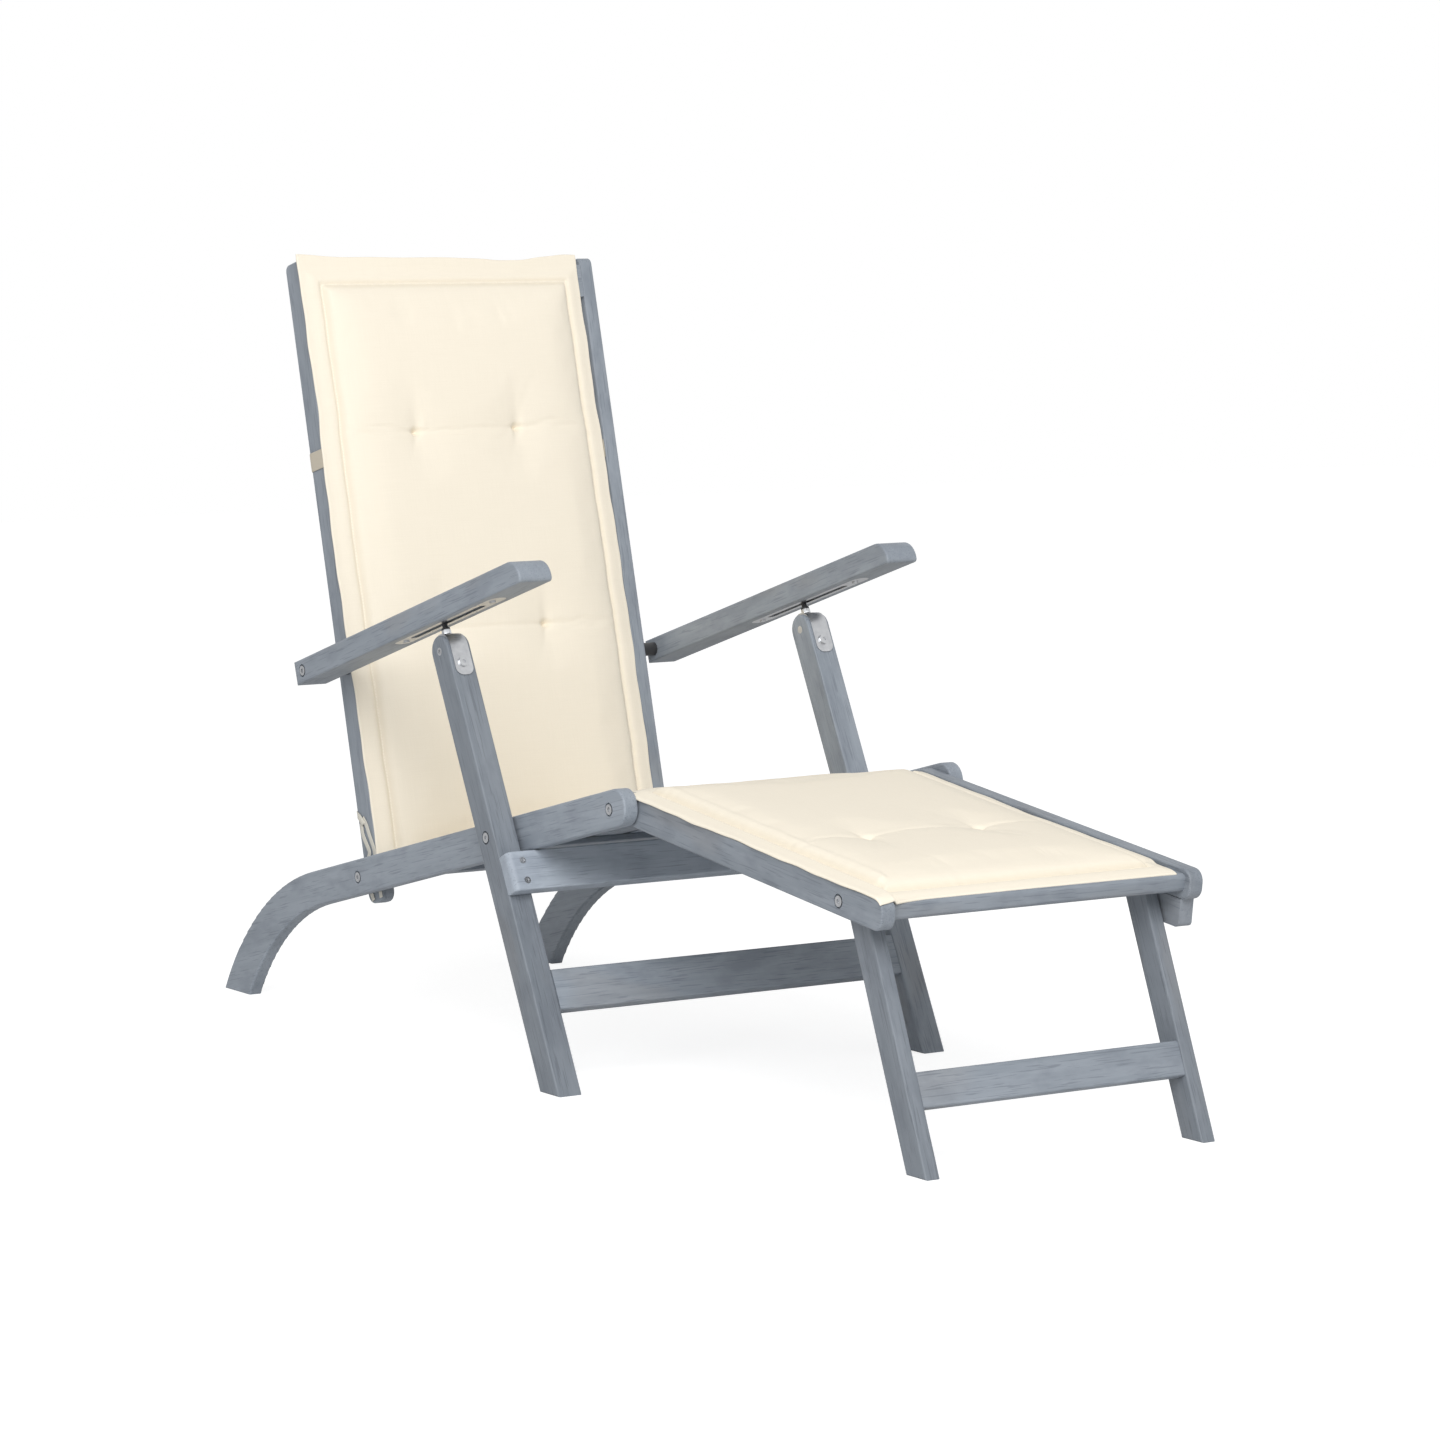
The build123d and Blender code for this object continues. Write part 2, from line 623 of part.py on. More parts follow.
def stretcher(name, back_face, half_span, start, depth, thickness, end_radius=0, holes=()):
    """A board on or between a pair of legs, its top edge nearest their pivot."""
    with BuildPart() as piece:
        with BuildSketch(back_face):
            with Locations((0, -start - depth / 2)):
                Rectangle(2 * half_span, depth)
        extrude(amount=thickness)
        if end_radius:
            ends = piece.faces().filter_by(Axis.X)
            front = ends.edges().group_by(Axis((0, 0, 0), back_face.z_dir))[-1]
            fillet(front, radius=end_radius)
        fillet(piece.edges().filter_by(Axis.X), radius=arris)
        if holes:
            sunk_screw_holes(back_face.offset(thickness), holes, face_screw_head_radius,
                             face_screw_head_height, face_screw_radius, thickness + overrun)
    keep(piece, name)


# Slatted panels
seat_top = face_plane(back_pivot, rail_pitch).offset(seat_level)
back_top = face_plane(back_pivot, back_pitch, -1).offset(stile_depth / 2)
foot_top = face_plane(foot_pivot, foot_pitch).offset(foot_level)


def panel(name, top, half_span, start, end, count, bar_width, thickness, far_nose, names):
    first = start + bar_width - rebate + slat_end_gap
    last = end - bar_width + rebate - slat_end_gap
    slats(f"{name}_slats", top, count, first, last)
    bar(names[0], top, half_span, start, bar_width, thickness, 1, count)
    bar(names[1], top, half_span, end - bar_width, bar_width, thickness, -1, count, far_nose)
    screws(f"{name}_slat_screws", [(top, slat_spots(count, first, last))],
           slat_screw_head_radius, slat_screw_head_height, slat_screw_radius,
           slat_screw_length, True)


panel("seat", seat_top, rail_inside, seat_start, seat_end, seat_slats, seat_bar_width,
      seat_bar_thickness, panel_arris, ("seat_rear_bar", "seat_front_bar"))
panel("back", back_top, stile_inside, back_start, back_end, back_slats, back_bar_width,
      seat_bar_thickness, panel_arris, ("back_bottom_bar", "back_top_bar"))
panel("footrest", foot_top, foot_rail_inside, foot_start, foot_end, foot_slats, foot_bar_width,
      foot_bar_thickness, foot_bar_nose, ("footrest_rear_bar", "footrest_front_bar"))
batten("seat_batten", seat_top, rail_inside, (seat_start + seat_end) / 2)
batten("back_batten", back_top, stile_inside, (back_start + back_end) / 2)

# Apron and stretchers
leg_front = face_plane(leg_pivot, leg_pitch, -1).offset(leg_depth / 2)
stretcher("front_apron", leg_front, leg_outside, apron_start, apron_depth, board,
          apron_end_radius, apron_spots)
stretcher("front_stretcher", leg_front.offset(-board), leg_inside, stretcher_start,
          stretcher_depth, board)
foot_leg_front = face_plane(foot_leg_pivot, foot_leg_pitch, -1).offset(foot_leg_depth / 2)
stretcher("footrest_stretcher",
          foot_leg_front.offset(-foot_stretcher_setback - foot_stretcher_thickness),
          foot_leg_inside, foot_stretcher_start, foot_stretcher_depth, foot_stretcher_thickness)
screws("apron_screws", [(leg_front.offset(board), apron_spots)], face_screw_head_radius,
       face_screw_head_height, face_screw_radius, board + face_screw_bite, True)

# Block under the left footrest rail, near its end
with BuildPart() as stop_block:
    with BuildSketch(side_plane(-foot_rail_inside, foot_pivot, foot_pitch)):
        with Locations((foot_rail_reach - stop_block_setback - stop_block_length / 2,
                        -(foot_rail_depth + stop_block_height) / 2)):
            Rectangle(stop_block_length, stop_block_height)
    extrude(amount=-board)
    fillet(stop_block.faces().sort_by(Axis.Z)[0].edges().filter_by(Axis.X), radius=block_corner)
keep(stop_block, "footrest_stop_block")

# Pivot hardware
pivot_bolts("back_pivot", back_pivot, rail_outside, stile_inside)
pivot_bolts("front_leg_pivot", leg_pivot, leg_outside, rail_inside)
pivot_bolts("footrest_pivot", foot_pivot, rail_outside, foot_rail_inside)
pivot_bolts("footrest_leg_pivot", foot_leg_pivot, foot_rail_outside, foot_leg_inside)
pivot_bolts("armrest_pivot", arm_pivot, arm_outside, stile_inside)
washers("back_pivot_washers", back_pivot, rail_inside, stile_outside)
washers("front_leg_washers", leg_pivot, leg_inside, rail_outside)
washers("footrest_washers", foot_pivot, rail_inside, foot_rail_outside)
washers("footrest_leg_washers", foot_leg_pivot, foot_rail_inside, foot_leg_outside)
washers("armrest_spacers", arm_pivot, arm_inside, stile_outside)

# Bracket screws, and the cross dowels that the studs screw into
bracket_face = face_plane(leg_head, leg_pitch, -1).offset(leg_depth / 2 + bracket_thickness)
screws("leg_bracket_screws",
       [(bracket_face, [(side * leg_middle, -bracket_screw_drop) for side in (-1, 1)])],
       bracket_screw_head_radius, face_screw_head_height, face_screw_radius, face_screw_bite, False)
with BuildPart() as cross_dowels:
    for side, hand in hands:
        with BuildSketch(Plane(origin=(side * leg_inside, *leg_head), z_dir=(side, 0, 0))):
            Circle(dowel_radius)
        extrude(amount=leg_thickness)
        with BuildSketch(Plane(origin=(side * leg_outside, *leg_head), z_dir=(side, 0, 0))):
            RegularPolygon(socket_radius, side_count=6)
        extrude(amount=-socket_depth, mode=Mode.SUBTRACT)
keep(cross_dowels, "leg_cross_dowels")


# Cushion: thin at its edge, a seam inside the edge, and a low crown between the seams
def pad_side(side, middle, half_width, lift, ledge_width, rise, notch):
    """One edge of a pad's cross section. Gives the ends that the base and crown join."""
    outer = middle + side * (half_width - cushion_bulge)
    ledge = middle + side * (half_width - ledge_width)
    seam = middle + side * (half_width - cushion_border)
    inner = seam - side * seam_width
    base_end, crown_end = (ledge - side * max(lift, arris), 0), (inner, rise)
    edge_middle = (outer + side * cushion_bulge, lift + cushion_edge / 2)
    Polyline(base_end, (ledge, lift), (outer, lift))
    ThreePointArc((outer, lift), edge_middle, (outer, lift + cushion_edge))
    Polyline((outer, lift + cushion_edge), (seam, rise), ((seam + inner) / 2, rise - notch), crown_end)
    return base_end, crown_end


def pad(name, base, across, start, end, tufts, lifts=(0, 0)):
    middle = across * cushion_shift
    length = end - start
    near_ledge = cushion_half_width + cushion_shift - pad_flat
    far_ledge = cushion_half_width - cushion_shift - pad_flat
    flat, seam_top = cushion_edge + max(lifts) / 2, cushion_seam_height
    rows = [(0, 0, flat, flat, 0), (cushion_border, 0, seam_top, seam_top, 1),
            (cushion_border + seam_width / 2, 0, seam_top - seam_depth, seam_top - seam_depth, 1),
            (cushion_border + seam_width, 0, seam_top, seam_top, 1)]
    for share, fullness_share in zip(crown_run_share, crown_share):
        rows.append((share * length, share, seam_top,
                     seam_top + fullness_share * (cushion_crown - seam_top), 1))
    half = rows + [(length - at, share, rise, top, cut) for at, share, rise, top, cut in rows[-2::-1]]
    with BuildPart() as cushion:
        for at, share, rise, top, cut in half:
            half_width = cushion_half_width - cushion_waist * sin(radians(180 * at / length))
            notch = max(cut * seam_depth, least_sag)
            origin = base.origin + base.y_dir * (start + at)
            with BuildSketch(Plane(origin=origin, x_dir=base.x_dir, z_dir=-base.y_dir)):
                with BuildLine():
                    near = pad_side(across, middle, half_width, lifts[0], near_ledge, rise, notch)
                    far = pad_side(-across, middle, half_width, lifts[1], far_ledge, rise, notch)
                    Line(near[0], far[0])
                    ThreePointArc(near[1], (middle, top + least_sag), far[1])
                make_face()
        loft(ruled=True)
        dish = (tuft_radius ** 2 + tuft_depth ** 2) / (2 * tuft_depth)
        for along in tufts:
            for side in (-1, 1):
                spot = (base.origin + base.y_dir * along + base.x_dir * (middle + side * tuft_side)
                        + base.z_dir * (cushion_crown + dish - tuft_depth))
                with Locations(Plane(origin=spot, z_dir=base.z_dir)):
                    Sphere(dish, mode=Mode.SUBTRACT)
    keep(cushion, name)


pad("back_cushion", back_top.offset(seating), -1, back_cushion_start, back_cushion_end,
    back_tufts)
pad("seat_cushion", seat_top.offset(seating), 1, seat_cushion_start, seat_cushion_end,
    seat_tufts)
pad("leg_cushion", foot_top.offset(seating), 1, leg_cushion_start, leg_cushion_end,
    leg_tufts, (foot_rail_depth / 2 - foot_level + least_sag, foot_leg_lift))


# Tapes: one round the back, one round the foot of the right stile, and its loose ends
def tape_plane(along):
    frame = face_plane(back_pivot, back_pitch, -1)
    return Plane(origin=frame.origin + frame.y_dir * along, x_dir=(1, 0, 0), z_dir=frame.y_dir)


def strip(x_near, x_far, y_near, y_far):
    with Locations(((x_near + x_far) / 2, (y_near + y_far) / 2)):
        Rectangle(abs(x_far - x_near), abs(y_far - y_near))


rear_in = stile_depth / 2 + seating
rear_out = rear_in + band_thickness
with BuildPart() as cushion_band:
    with BuildSketch(tape_plane(band_along - band_width / 2)):
        strip(stile_outside + seating, stile_outside + seating + band_thickness,
              stile_depth / 2, -rear_out)
        strip(-stile_inside + seating, stile_outside + seating + band_thickness, -rear_in, -rear_out)
        strip(-stile_inside + seating, -stile_inside + seating + band_thickness,
              stile_depth / 2, -rear_out)
    extrude(amount=band_width)
keep(cushion_band, "cushion_band")

with BuildPart() as cushion_ties:
    with BuildSketch(tape_plane(tie_along - tie_width / 2)):
        strip(stile_outside + seating, stile_outside + seating + band_thickness,
              stile_depth / 2, -rear_out)
        strip(stile_inside - seating, stile_outside + seating + band_thickness, -rear_in, -rear_out)
        strip(stile_inside - seating, stile_inside - seating - band_thickness,
              stile_depth / 2, -rear_out)
    extrude(amount=tie_width)
    for place in tail_spread:
        with BuildSketch(tape_plane(tail_end)):
            strip(stile_outside + seating, stile_outside + seating + band_thickness,
                  place - tail_width / 2, place + tail_width / 2)
        extrude(amount=tie_along - tail_end)
keep(cushion_ties, "cushion_ties")
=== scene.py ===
import json
from math import cos, pi, radians, sin

import bpy
import numpy as np
from mathutils import Euler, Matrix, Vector


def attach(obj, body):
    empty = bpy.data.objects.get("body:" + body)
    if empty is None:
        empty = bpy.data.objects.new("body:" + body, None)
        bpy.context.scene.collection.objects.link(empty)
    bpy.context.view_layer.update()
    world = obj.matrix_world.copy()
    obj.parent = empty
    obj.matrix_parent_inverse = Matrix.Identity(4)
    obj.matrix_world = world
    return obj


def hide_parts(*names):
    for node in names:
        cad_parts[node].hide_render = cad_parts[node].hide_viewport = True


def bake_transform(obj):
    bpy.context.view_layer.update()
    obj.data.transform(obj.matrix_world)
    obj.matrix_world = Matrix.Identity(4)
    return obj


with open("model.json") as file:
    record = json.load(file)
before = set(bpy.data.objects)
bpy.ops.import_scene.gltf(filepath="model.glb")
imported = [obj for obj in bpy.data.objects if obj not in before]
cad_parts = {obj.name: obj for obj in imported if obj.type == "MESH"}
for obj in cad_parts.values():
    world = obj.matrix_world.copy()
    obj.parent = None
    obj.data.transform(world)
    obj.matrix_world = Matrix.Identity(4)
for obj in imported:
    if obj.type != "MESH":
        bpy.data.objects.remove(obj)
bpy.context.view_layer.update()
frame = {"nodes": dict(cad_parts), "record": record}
record = frame["record"]
pivots = {j["name"]: np.array(j["pos_m"]) for j in record["behaviour"]["joints"]}
print("frame loaded:", len(frame["nodes"]), "nodes")

# How the members lean, in degrees up from +Y, as in the frame
pitches = {"rail": 14.28, "back": 104.7, "arm": 17.3, "leg": 116.5, "footrest": -6.85,
           "footLeg": 112.2}


# Camera: the photograph's own angle, a long lens far off
camera = {"lens": 123.86, "azimuth": 146.443, "elevation": 6.410, "roll": 0.113,
          "distance": 6.1935, "target": (0.0, 0.0603, 0.4357)}


def setCamera():
    a, e = radians(camera["azimuth"]), radians(camera["elevation"])
    back = Vector((sin(a) * cos(e), -cos(a) * cos(e), sin(e)))
    data = bpy.data.cameras.new("photoCamera")
    data.lens, data.sensor_width, data.sensor_fit = camera["lens"], 36.0, "HORIZONTAL"
    data.clip_end = 60.0
    lens = bpy.data.objects.new("photoCamera", data)
    bpy.context.collection.objects.link(lens)
    turn = back.to_track_quat("Z", "Y").to_euler().to_matrix()
    roll = Euler((0, 0, radians(camera["roll"]))).to_matrix()
    lens.rotation_euler = (turn @ roll).to_euler()
    lens.location = Vector(camera["target"]) + back * camera["distance"]
    bpy.context.scene.camera = lens


setCamera()


# A signal wraps a socket, so that shader sums are written as plain sums
class Signal:
    def __init__(self, sheet, socket):
        self.sheet, self.socket = sheet, socket

    def sum(self, operation, left, right=None):
        values = [left] if right is None else [left, right]
        return self.sheet.add("ShaderNodeMath", {"operation": operation}, dict(enumerate(values)))

    def __add__(self, other): return self.sum("ADD", self, other)
    def __radd__(self, other): return self.sum("ADD", other, self)
    def __sub__(self, other): return self.sum("SUBTRACT", self, other)
    def __rsub__(self, other): return self.sum("SUBTRACT", other, self)
    def __mul__(self, other): return self.sum("MULTIPLY", self, other)
    def __rmul__(self, other): return self.sum("MULTIPLY", other, self)
    def __truediv__(self, other): return self.sum("DIVIDE", self, other)
    def __abs__(self): return self.sum("ABSOLUTE", self)
    def under(self, limit): return self.sum("LESS_THAN", self, limit)
    def fraction(self): return self.sum("FRACT", self)
    def floored(self): return self.sum("FLOOR", self)
    def sine(self): return self.sum("SINE", self)
    def held(self, low, high):
        return self.sum("MINIMUM", self.sum("MAXIMUM", self, low), high)


# A sheet is one material's node tree, with one way to add any node
class Sheet:
    def __init__(self, name):
        self.material = bpy.data.materials.new(name)
        self.material.use_nodes = True
        self.nodes = self.material.node_tree.nodes
        self.links = self.material.node_tree.links
        self.nodes.clear()

    def add(self, kind, settings=None, sockets=None, output=0):
        node = self.nodes.new(kind)
        for key, value in (settings or {}).items():
            if key == "stops":
                ramp = node.color_ramp
                while len(ramp.elements) < len(value):
                    ramp.elements.new(0.5)
                for element, (place, colour) in zip(ramp.elements, value):
                    element.position, element.color = place, (*colour, 1.0)
            else:
                setattr(node, key, value)
        for key, value in (sockets or {}).items():
            if isinstance(value, Signal):
                self.links.new(value.socket, node.inputs[key])
            else:
                node.inputs[key].default_value = value
        return Signal(self, node.outputs[output]) if len(node.outputs) else None

    def mixed(self, amount, first, second, blend="MIX"):
        settings = {"data_type": "RGBA", "blend_type": blend}
        return self.add("ShaderNodeMix", settings, {0: amount, 6: first, 7: second}, 2)

    def noise(self, place, scale, detail=3.0, roughness=0.55, distortion=0.0):
        sockets = {"Vector": place, "Scale": scale, "Detail": detail, "Roughness": roughness,
                   "Distortion": distortion}
        return self.add("ShaderNodeTexNoise", {}, sockets)

    def place(self):
        return self.add("ShaderNodeTexCoord", {}, {}, 3)

    def scaled(self, place, factors):
        return self.add("ShaderNodeVectorMath", {"operation": "MULTIPLY"}, {0: place, 1: factors})

    def bump(self, height, strength, distance):
        sockets = {"Strength": strength, "Distance": distance, "Height": height}
        return self.add("ShaderNodeBump", {}, sockets)

    def painted(self, colour, roughness, normal, others=None):
        sockets = {"Base Color": colour, "Roughness": roughness, "Normal": normal, **(others or {})}
        return self.finish(self.add("ShaderNodeBsdfPrincipled", {}, sockets))

    def finish(self, surface):
        self.add("ShaderNodeOutputMaterial", {"target": "ALL"}, {"Surface": surface})
        return self.material


def screenColour(red, green, blue):
    # a colour read off a screen, 0 to 255, as the shader's linear values
    shares = np.array((red, green, blue)) / 255.0
    return (*np.where(shares < 0.04045, shares / 12.92, ((shares + 0.055) / 1.055) ** 2.4), 1.0)


# Grey-washed hardwood: an even pale wash, soft mottling, faint grain and a few open pores.
# Each layer of noise has its scale, and how far it is drawn out along the grain
wood = {"wash": (151, 158, 167), "deep": (133, 141, 150), "cloud": (123, 130, 140),
        "pore": (97, 103, 113), "bare": (144, 139, 134), "endGrain": (140, 147, 156)}
woodLayers = {"streaks": (170.0, 0.05), "bands": (36.0, 0.10), "clouds": (30.0, 0.45),
              "patches": (9.0, 0.4), "pores": (640.0, 0.035), "rings": (260.0, 0.2)}
slatPitch, slatDrift = 0.0535, (3.7, 1.3)
woodRough, woodGloss, woodBump, woodRelief = (0.46, 0.14), 0.38, 0.28, 0.0005


def greyedWood(name, turnX, turnZ, shift, slats=False, paintedLightScale=1.0):
    sheet = Sheet(name)
    # the whole palette scaled by the board's share of painted light and shade
    shades = {key: screenColour(*(part * paintedLightScale for part in value)) for key, value in wood.items()}
    place = sheet.place()
    normal = sheet.add("ShaderNodeTexCoord", {}, {}, 1)
    if slats:  # each slat is cut from another board, so its place is shifted by its number
        acrossPanel = sheet.add("ShaderNodeSeparateXYZ", {}, {0: place})
        number = (acrossPanel / slatPitch + 0.5).floored()
        offset = sheet.add("ShaderNodeCombineXYZ", {},
                           {"Y": number * slatDrift[0], "Z": number * slatDrift[1]})
        place = sheet.add("ShaderNodeVectorMath", {"operation": "ADD"}, {0: place, 1: offset})
        boardTone = sheet.add("ShaderNodeTexWhiteNoise", {"noise_dimensions": "1D"}, {"W": number})
    turn = {"Rotation": (radians(turnX), 0.0, radians(turnZ))}
    grain = sheet.add("ShaderNodeMapping", {"vector_type": "POINT"},
                      {"Vector": place, "Location": shift, **turn})
    facing = sheet.add("ShaderNodeMapping", {"vector_type": "VECTOR"}, {"Vector": normal, **turn})

    def layer(name, detail, roughness=0.55, distortion=0.0):
        scale, along = woodLayers[name]
        return sheet.noise(sheet.scaled(grain, (1.0, along, 1.0)), scale, detail, roughness,
                           distortion)

    streaks = layer("streaks", 4.0, 0.6, 0.3)
    bands = layer("bands", 3.0, 0.5, 0.7)
    clouds = layer("clouds", 4.0, 0.62)
    patches = layer("patches", 2.0)
    pores = layer("pores", 1.0, 0.4)
    figure = ((streaks * 0.5 + bands * 0.5 - 0.34) / 0.32).held(0.0, 1.0)
    colour = sheet.mixed(figure, shades["deep"], shades["wash"])
    colour = sheet.mixed(((0.52 - clouds) * 3.2).held(0.0, 0.6), colour, shades["cloud"])
    colour = sheet.mixed(((patches - 0.58) * 3.0).held(0.0, 0.2), colour, shades["bare"])
    poreMask = ((0.39 - pores) * 9.0).held(0.0, 0.4)
    colour = sheet.mixed(poreMask, colour, shades["pore"])
    facingAlong = abs(sheet.add("ShaderNodeSeparateXYZ", {}, {0: facing}, 1))
    endMask = ((facingAlong - 0.9) * 8.0).held(0.0, 1.0)
    endColour = sheet.mixed(layer("rings", 3.0), shades["cloud"], shades["endGrain"])
    colour = sheet.mixed(endMask * 0.4, colour, endColour)
    if slats:
        toned = {0: boardTone * 0.12 + 0.92, 1: boardTone * 0.12 + 0.92, 2: boardTone * 0.11 + 0.93}
        toned = sheet.add("ShaderNodeCombineColor", {}, toned)
        colour = sheet.mixed(1.0, colour, toned, "MULTIPLY")
    relief = streaks * 0.5 + bands * 0.2 - poreMask * 0.6
    return sheet.painted(colour, woodRough[0] + figure * woodRough[1],
                         sheet.bump(relief, woodBump, woodRelief),
                         {"Specular IOR Level": woodGloss})


# Stainless steel: brushed sheet and turned bolts. Black: the studs' flanges and the nylon washers
steel = {"colour": (0.74, 0.75, 0.76, 1.0), "dark": (0.44, 0.45, 0.47, 1.0)}
brushedLines, turnedLines = 2600.0, 1400.0
blackStud = ((0.020, 0.020, 0.022, 1.0), (0.045, 0.046, 0.050, 1.0))
nylon = ((0.018, 0.018, 0.020, 1.0), (0.040, 0.041, 0.044, 1.0))
nutTop = 0.02776  # from the middle of the leg's head up to the top of the stud's nut


def stainlessSteel(name):
    sheet = Sheet(name)
    place = sheet.place()
    lines = sheet.noise(sheet.scaled(place, (1.0, 0.06, 0.06)), brushedLines, 2.0)
    # darker and lighter patches over the steel: smudges, and painted reflection of the surroundings
    smudgesAndReflection = sheet.noise(place, 120.0, 2.0)
    colour = sheet.mixed((smudgesAndReflection * 0.8 - 0.1).held(0.0, 1.0), steel["dark"], steel["colour"])
    return sheet.painted(colour, 0.26 + lines * 0.16, sheet.bump(lines, 0.12, 0.0001),
                         {"Metallic": 1.0})


def studPaint(alongLeg, head):
    # a steel nut below, then the black flange and stud, told apart by distance up the leg's line
    sheet = Sheet("studSteelAndBlack")
    place = sheet.place()
    reach = sheet.add("ShaderNodeVectorMath", {"operation": "DOT_PRODUCT"},
                      {0: place, 1: tuple(alongLeg)}, 1)
    bare = (reach - float(np.dot(alongLeg, head))).under(nutTop)
    lines = sheet.noise(place, turnedLines, 2.0)
    metal = sheet.mixed(lines, steel["dark"], steel["colour"])
    colour = sheet.mixed(bare, sheet.mixed(lines, *blackStud), metal)
    return sheet.painted(colour, 0.40 - bare * 0.10 + lines * 0.1, sheet.bump(lines, 0.15, 0.0001),
                         {"Metallic": bare})


def blackNylon():
    sheet = Sheet("blackNylon")
    place = sheet.place()
    grainy = sheet.noise(place, 900.0, 2.0)
    return sheet.painted(sheet.mixed(grainy, *nylon), 0.42 + grainy * 0.1,
                         sheet.bump(grainy, 0.2, 0.0001))


# Cloths: plain weave, slubs in the yarn, and on the pad a sunk border seam with its stitches, with
# painted shade in the seam's groove and in the stitch holes
# fold: a darker cream painted along the seam's groove as its shade
canvas = {"yarn": (247, 239, 223), "shade": (234, 225, 207), "thread": (250, 244, 231),
          "fold": (222, 212, 192), "yarnPitch": 0.00085}
tan = {"yarn": (207, 199, 182), "shade": (187, 178, 162), "yarnPitch": 0.0014}
tieYarn = {"yarn": (226, 222, 212), "shade": (202, 199, 187), "yarnPitch": 0.0010}
stitch, stitchWidth, slubScale, slubDraw = 0.0042, 0.0008, 900.0, 0.02


def wovenCloth(name, seam=True, colours=canvas):
    sheet = Sheet(name)
    flat = sheet.add("ShaderNodeUVMap", {"uv_map": "clothMap"}, {})
    run = sheet.add("ShaderNodeSeparateXYZ", {}, {0: flat}, 0)
    rise = sheet.add("ShaderNodeSeparateXYZ", {}, {0: flat}, 1)
    warp = (run * (2 * pi / colours["yarnPitch"])).sine()
    weft = (rise * (2 * pi / colours["yarnPitch"])).sine()
    weave = warp * weft * 0.5 + 0.5
    slubsAcross = sheet.noise(sheet.scaled(flat, (1.0, slubDraw, 1.0)), slubScale, 2.0)
    slubsAlong = sheet.noise(sheet.scaled(flat, (slubDraw, 1.0, 1.0)), slubScale, 2.0)
    mottle = sheet.noise(flat, 14.0, 3.0)
    yarn = (weave * 0.3 + slubsAcross * 0.35 + slubsAlong * 0.35).held(0.0, 1.0)
    shade = screenColour(*colours["shade"])
    colour = sheet.mixed(yarn, shade, screenColour(*colours["yarn"]))
    colour = sheet.mixed(((mottle - 0.5) * 0.5).held(0.0, 0.12), colour, shade)
    relief = weave * 0.5 + slubsAcross * 0.3 + slubsAlong * 0.3
    if seam:
        off = sheet.add("ShaderNodeAttribute", {"attribute_name": "seamOffset"}, {}, 2)
        along = sheet.add("ShaderNodeAttribute", {"attribute_name": "seamRun"}, {}, 2)
        onLine = (1.0 - abs(off) / stitchWidth).held(0.0, 1.0)
        dash = (along / stitch).fraction().under(0.72)
        thread = onLine * dash
        colour = sheet.mixed(thread * 0.8, colour, screenColour(*colours["thread"]))
        # between the dashes the holes are darkened: painted shade in the stitch holes
        hole = onLine * (1.0 - dash)
        colour = sheet.mixed(hole * 0.35, colour, shade)
        # a darker band just inside the seam line: painted shade in its groove
        sunk = (1.0 - abs(off - 0.0015) / 0.006).held(0.0, 1.0)
        colour = sheet.mixed(sunk * 0.35, colour, screenColour(*colours["fold"]))
        relief = relief + thread * 2.5 - hole * 1.5
    return sheet.painted(colour, 0.86, sheet.bump(relief, 0.3, 0.0003),
                         {"Specular IOR Level": 0.2, "Sheen Weight": 0.10, "Sheen Roughness": 0.5})


# Dress the frame: each board gets its own cut of the wood, with the grain along it
grainOf = [("side_rail", "rail"), ("seat_slats", "rail"), ("back_stile", "back"),
           ("back_slats", "back"), ("armrest_right", "arm"), ("armrest_left", "arm"),
           ("front_leg_right", "leg"), ("front_leg_left", "leg"), ("foot_rail", "footrest"),
           ("footrest_slats", "footrest"), ("foot_leg_", "footLeg"), ("stop_block", "footrest")]
legHead = 0.248  # from the leg's pivot up to the middle of its head
crossGrain = ("_bar", "batten", "apron", "stretcher")
slotOf = {part["node"]: part["material_slot"] for part in record["subparts"]}
# Painted light and shade, board by board: each board's wood palette is made lighter or darker (0.86
# to 1.16) by how light falls on it, darker on the front leg and the footrest's legs, lighter on the
# apron and the seat slats
boardLightAndShade = {"front_leg_right": 0.88, "foot_leg": 0.86, "front_apron": 1.16, "seat_slats": 1.10,
              "front_stretcher": 1.04, "foot_rail": 0.93, "footrest_front_bar": 0.95,
              "footrest_stretcher": 0.97, "side_rail": 1.02, "armrest": 1.0}


def dressFrame():
    shared = {"stainless_steel": stainlessSteel("stainlessSteel"), "nylon": blackNylon()}
    for number, (name, node) in enumerate(sorted(frame["nodes"].items())):
        slot = slotOf[name]
        if name == "stop_studs":
            lean = radians(pitches["leg"])
            alongLeg = np.array((0.0, cos(lean), sin(lean)))
            head = pivots["front_leg_fold"] + alongLeg * legHead
            paint = studPaint(alongLeg, head)
        elif slot in shared:
            paint = shared[slot]
        elif slot == "greyed_wood":
            shift = (0.37 * number % 3.1, 0.83 * number % 5.3, 0.59 * number % 2.7)
            # this board's share of painted light and shade, 1.0 where none is listed
            paintedLightScale = next((value for key, value in boardLightAndShade.items() if key in name), 1.0)
            if any(word in name for word in crossGrain) and "stop_block" not in name:
                paint = greyedWood(f"greyedWood_{name}", 0.0, 90.0, shift, paintedLightScale=paintedLightScale)
            else:
                lean = next(pitches[key] for start, key in grainOf if start in name)
                paint = greyedWood(f"greyedWood_{name}", -lean, 0.0, shift, "slats" in name, paintedLightScale)
        else:
            continue
        node.data.materials.clear()
        node.data.materials.append(paint)


dressFrame()
print("frame dressed")


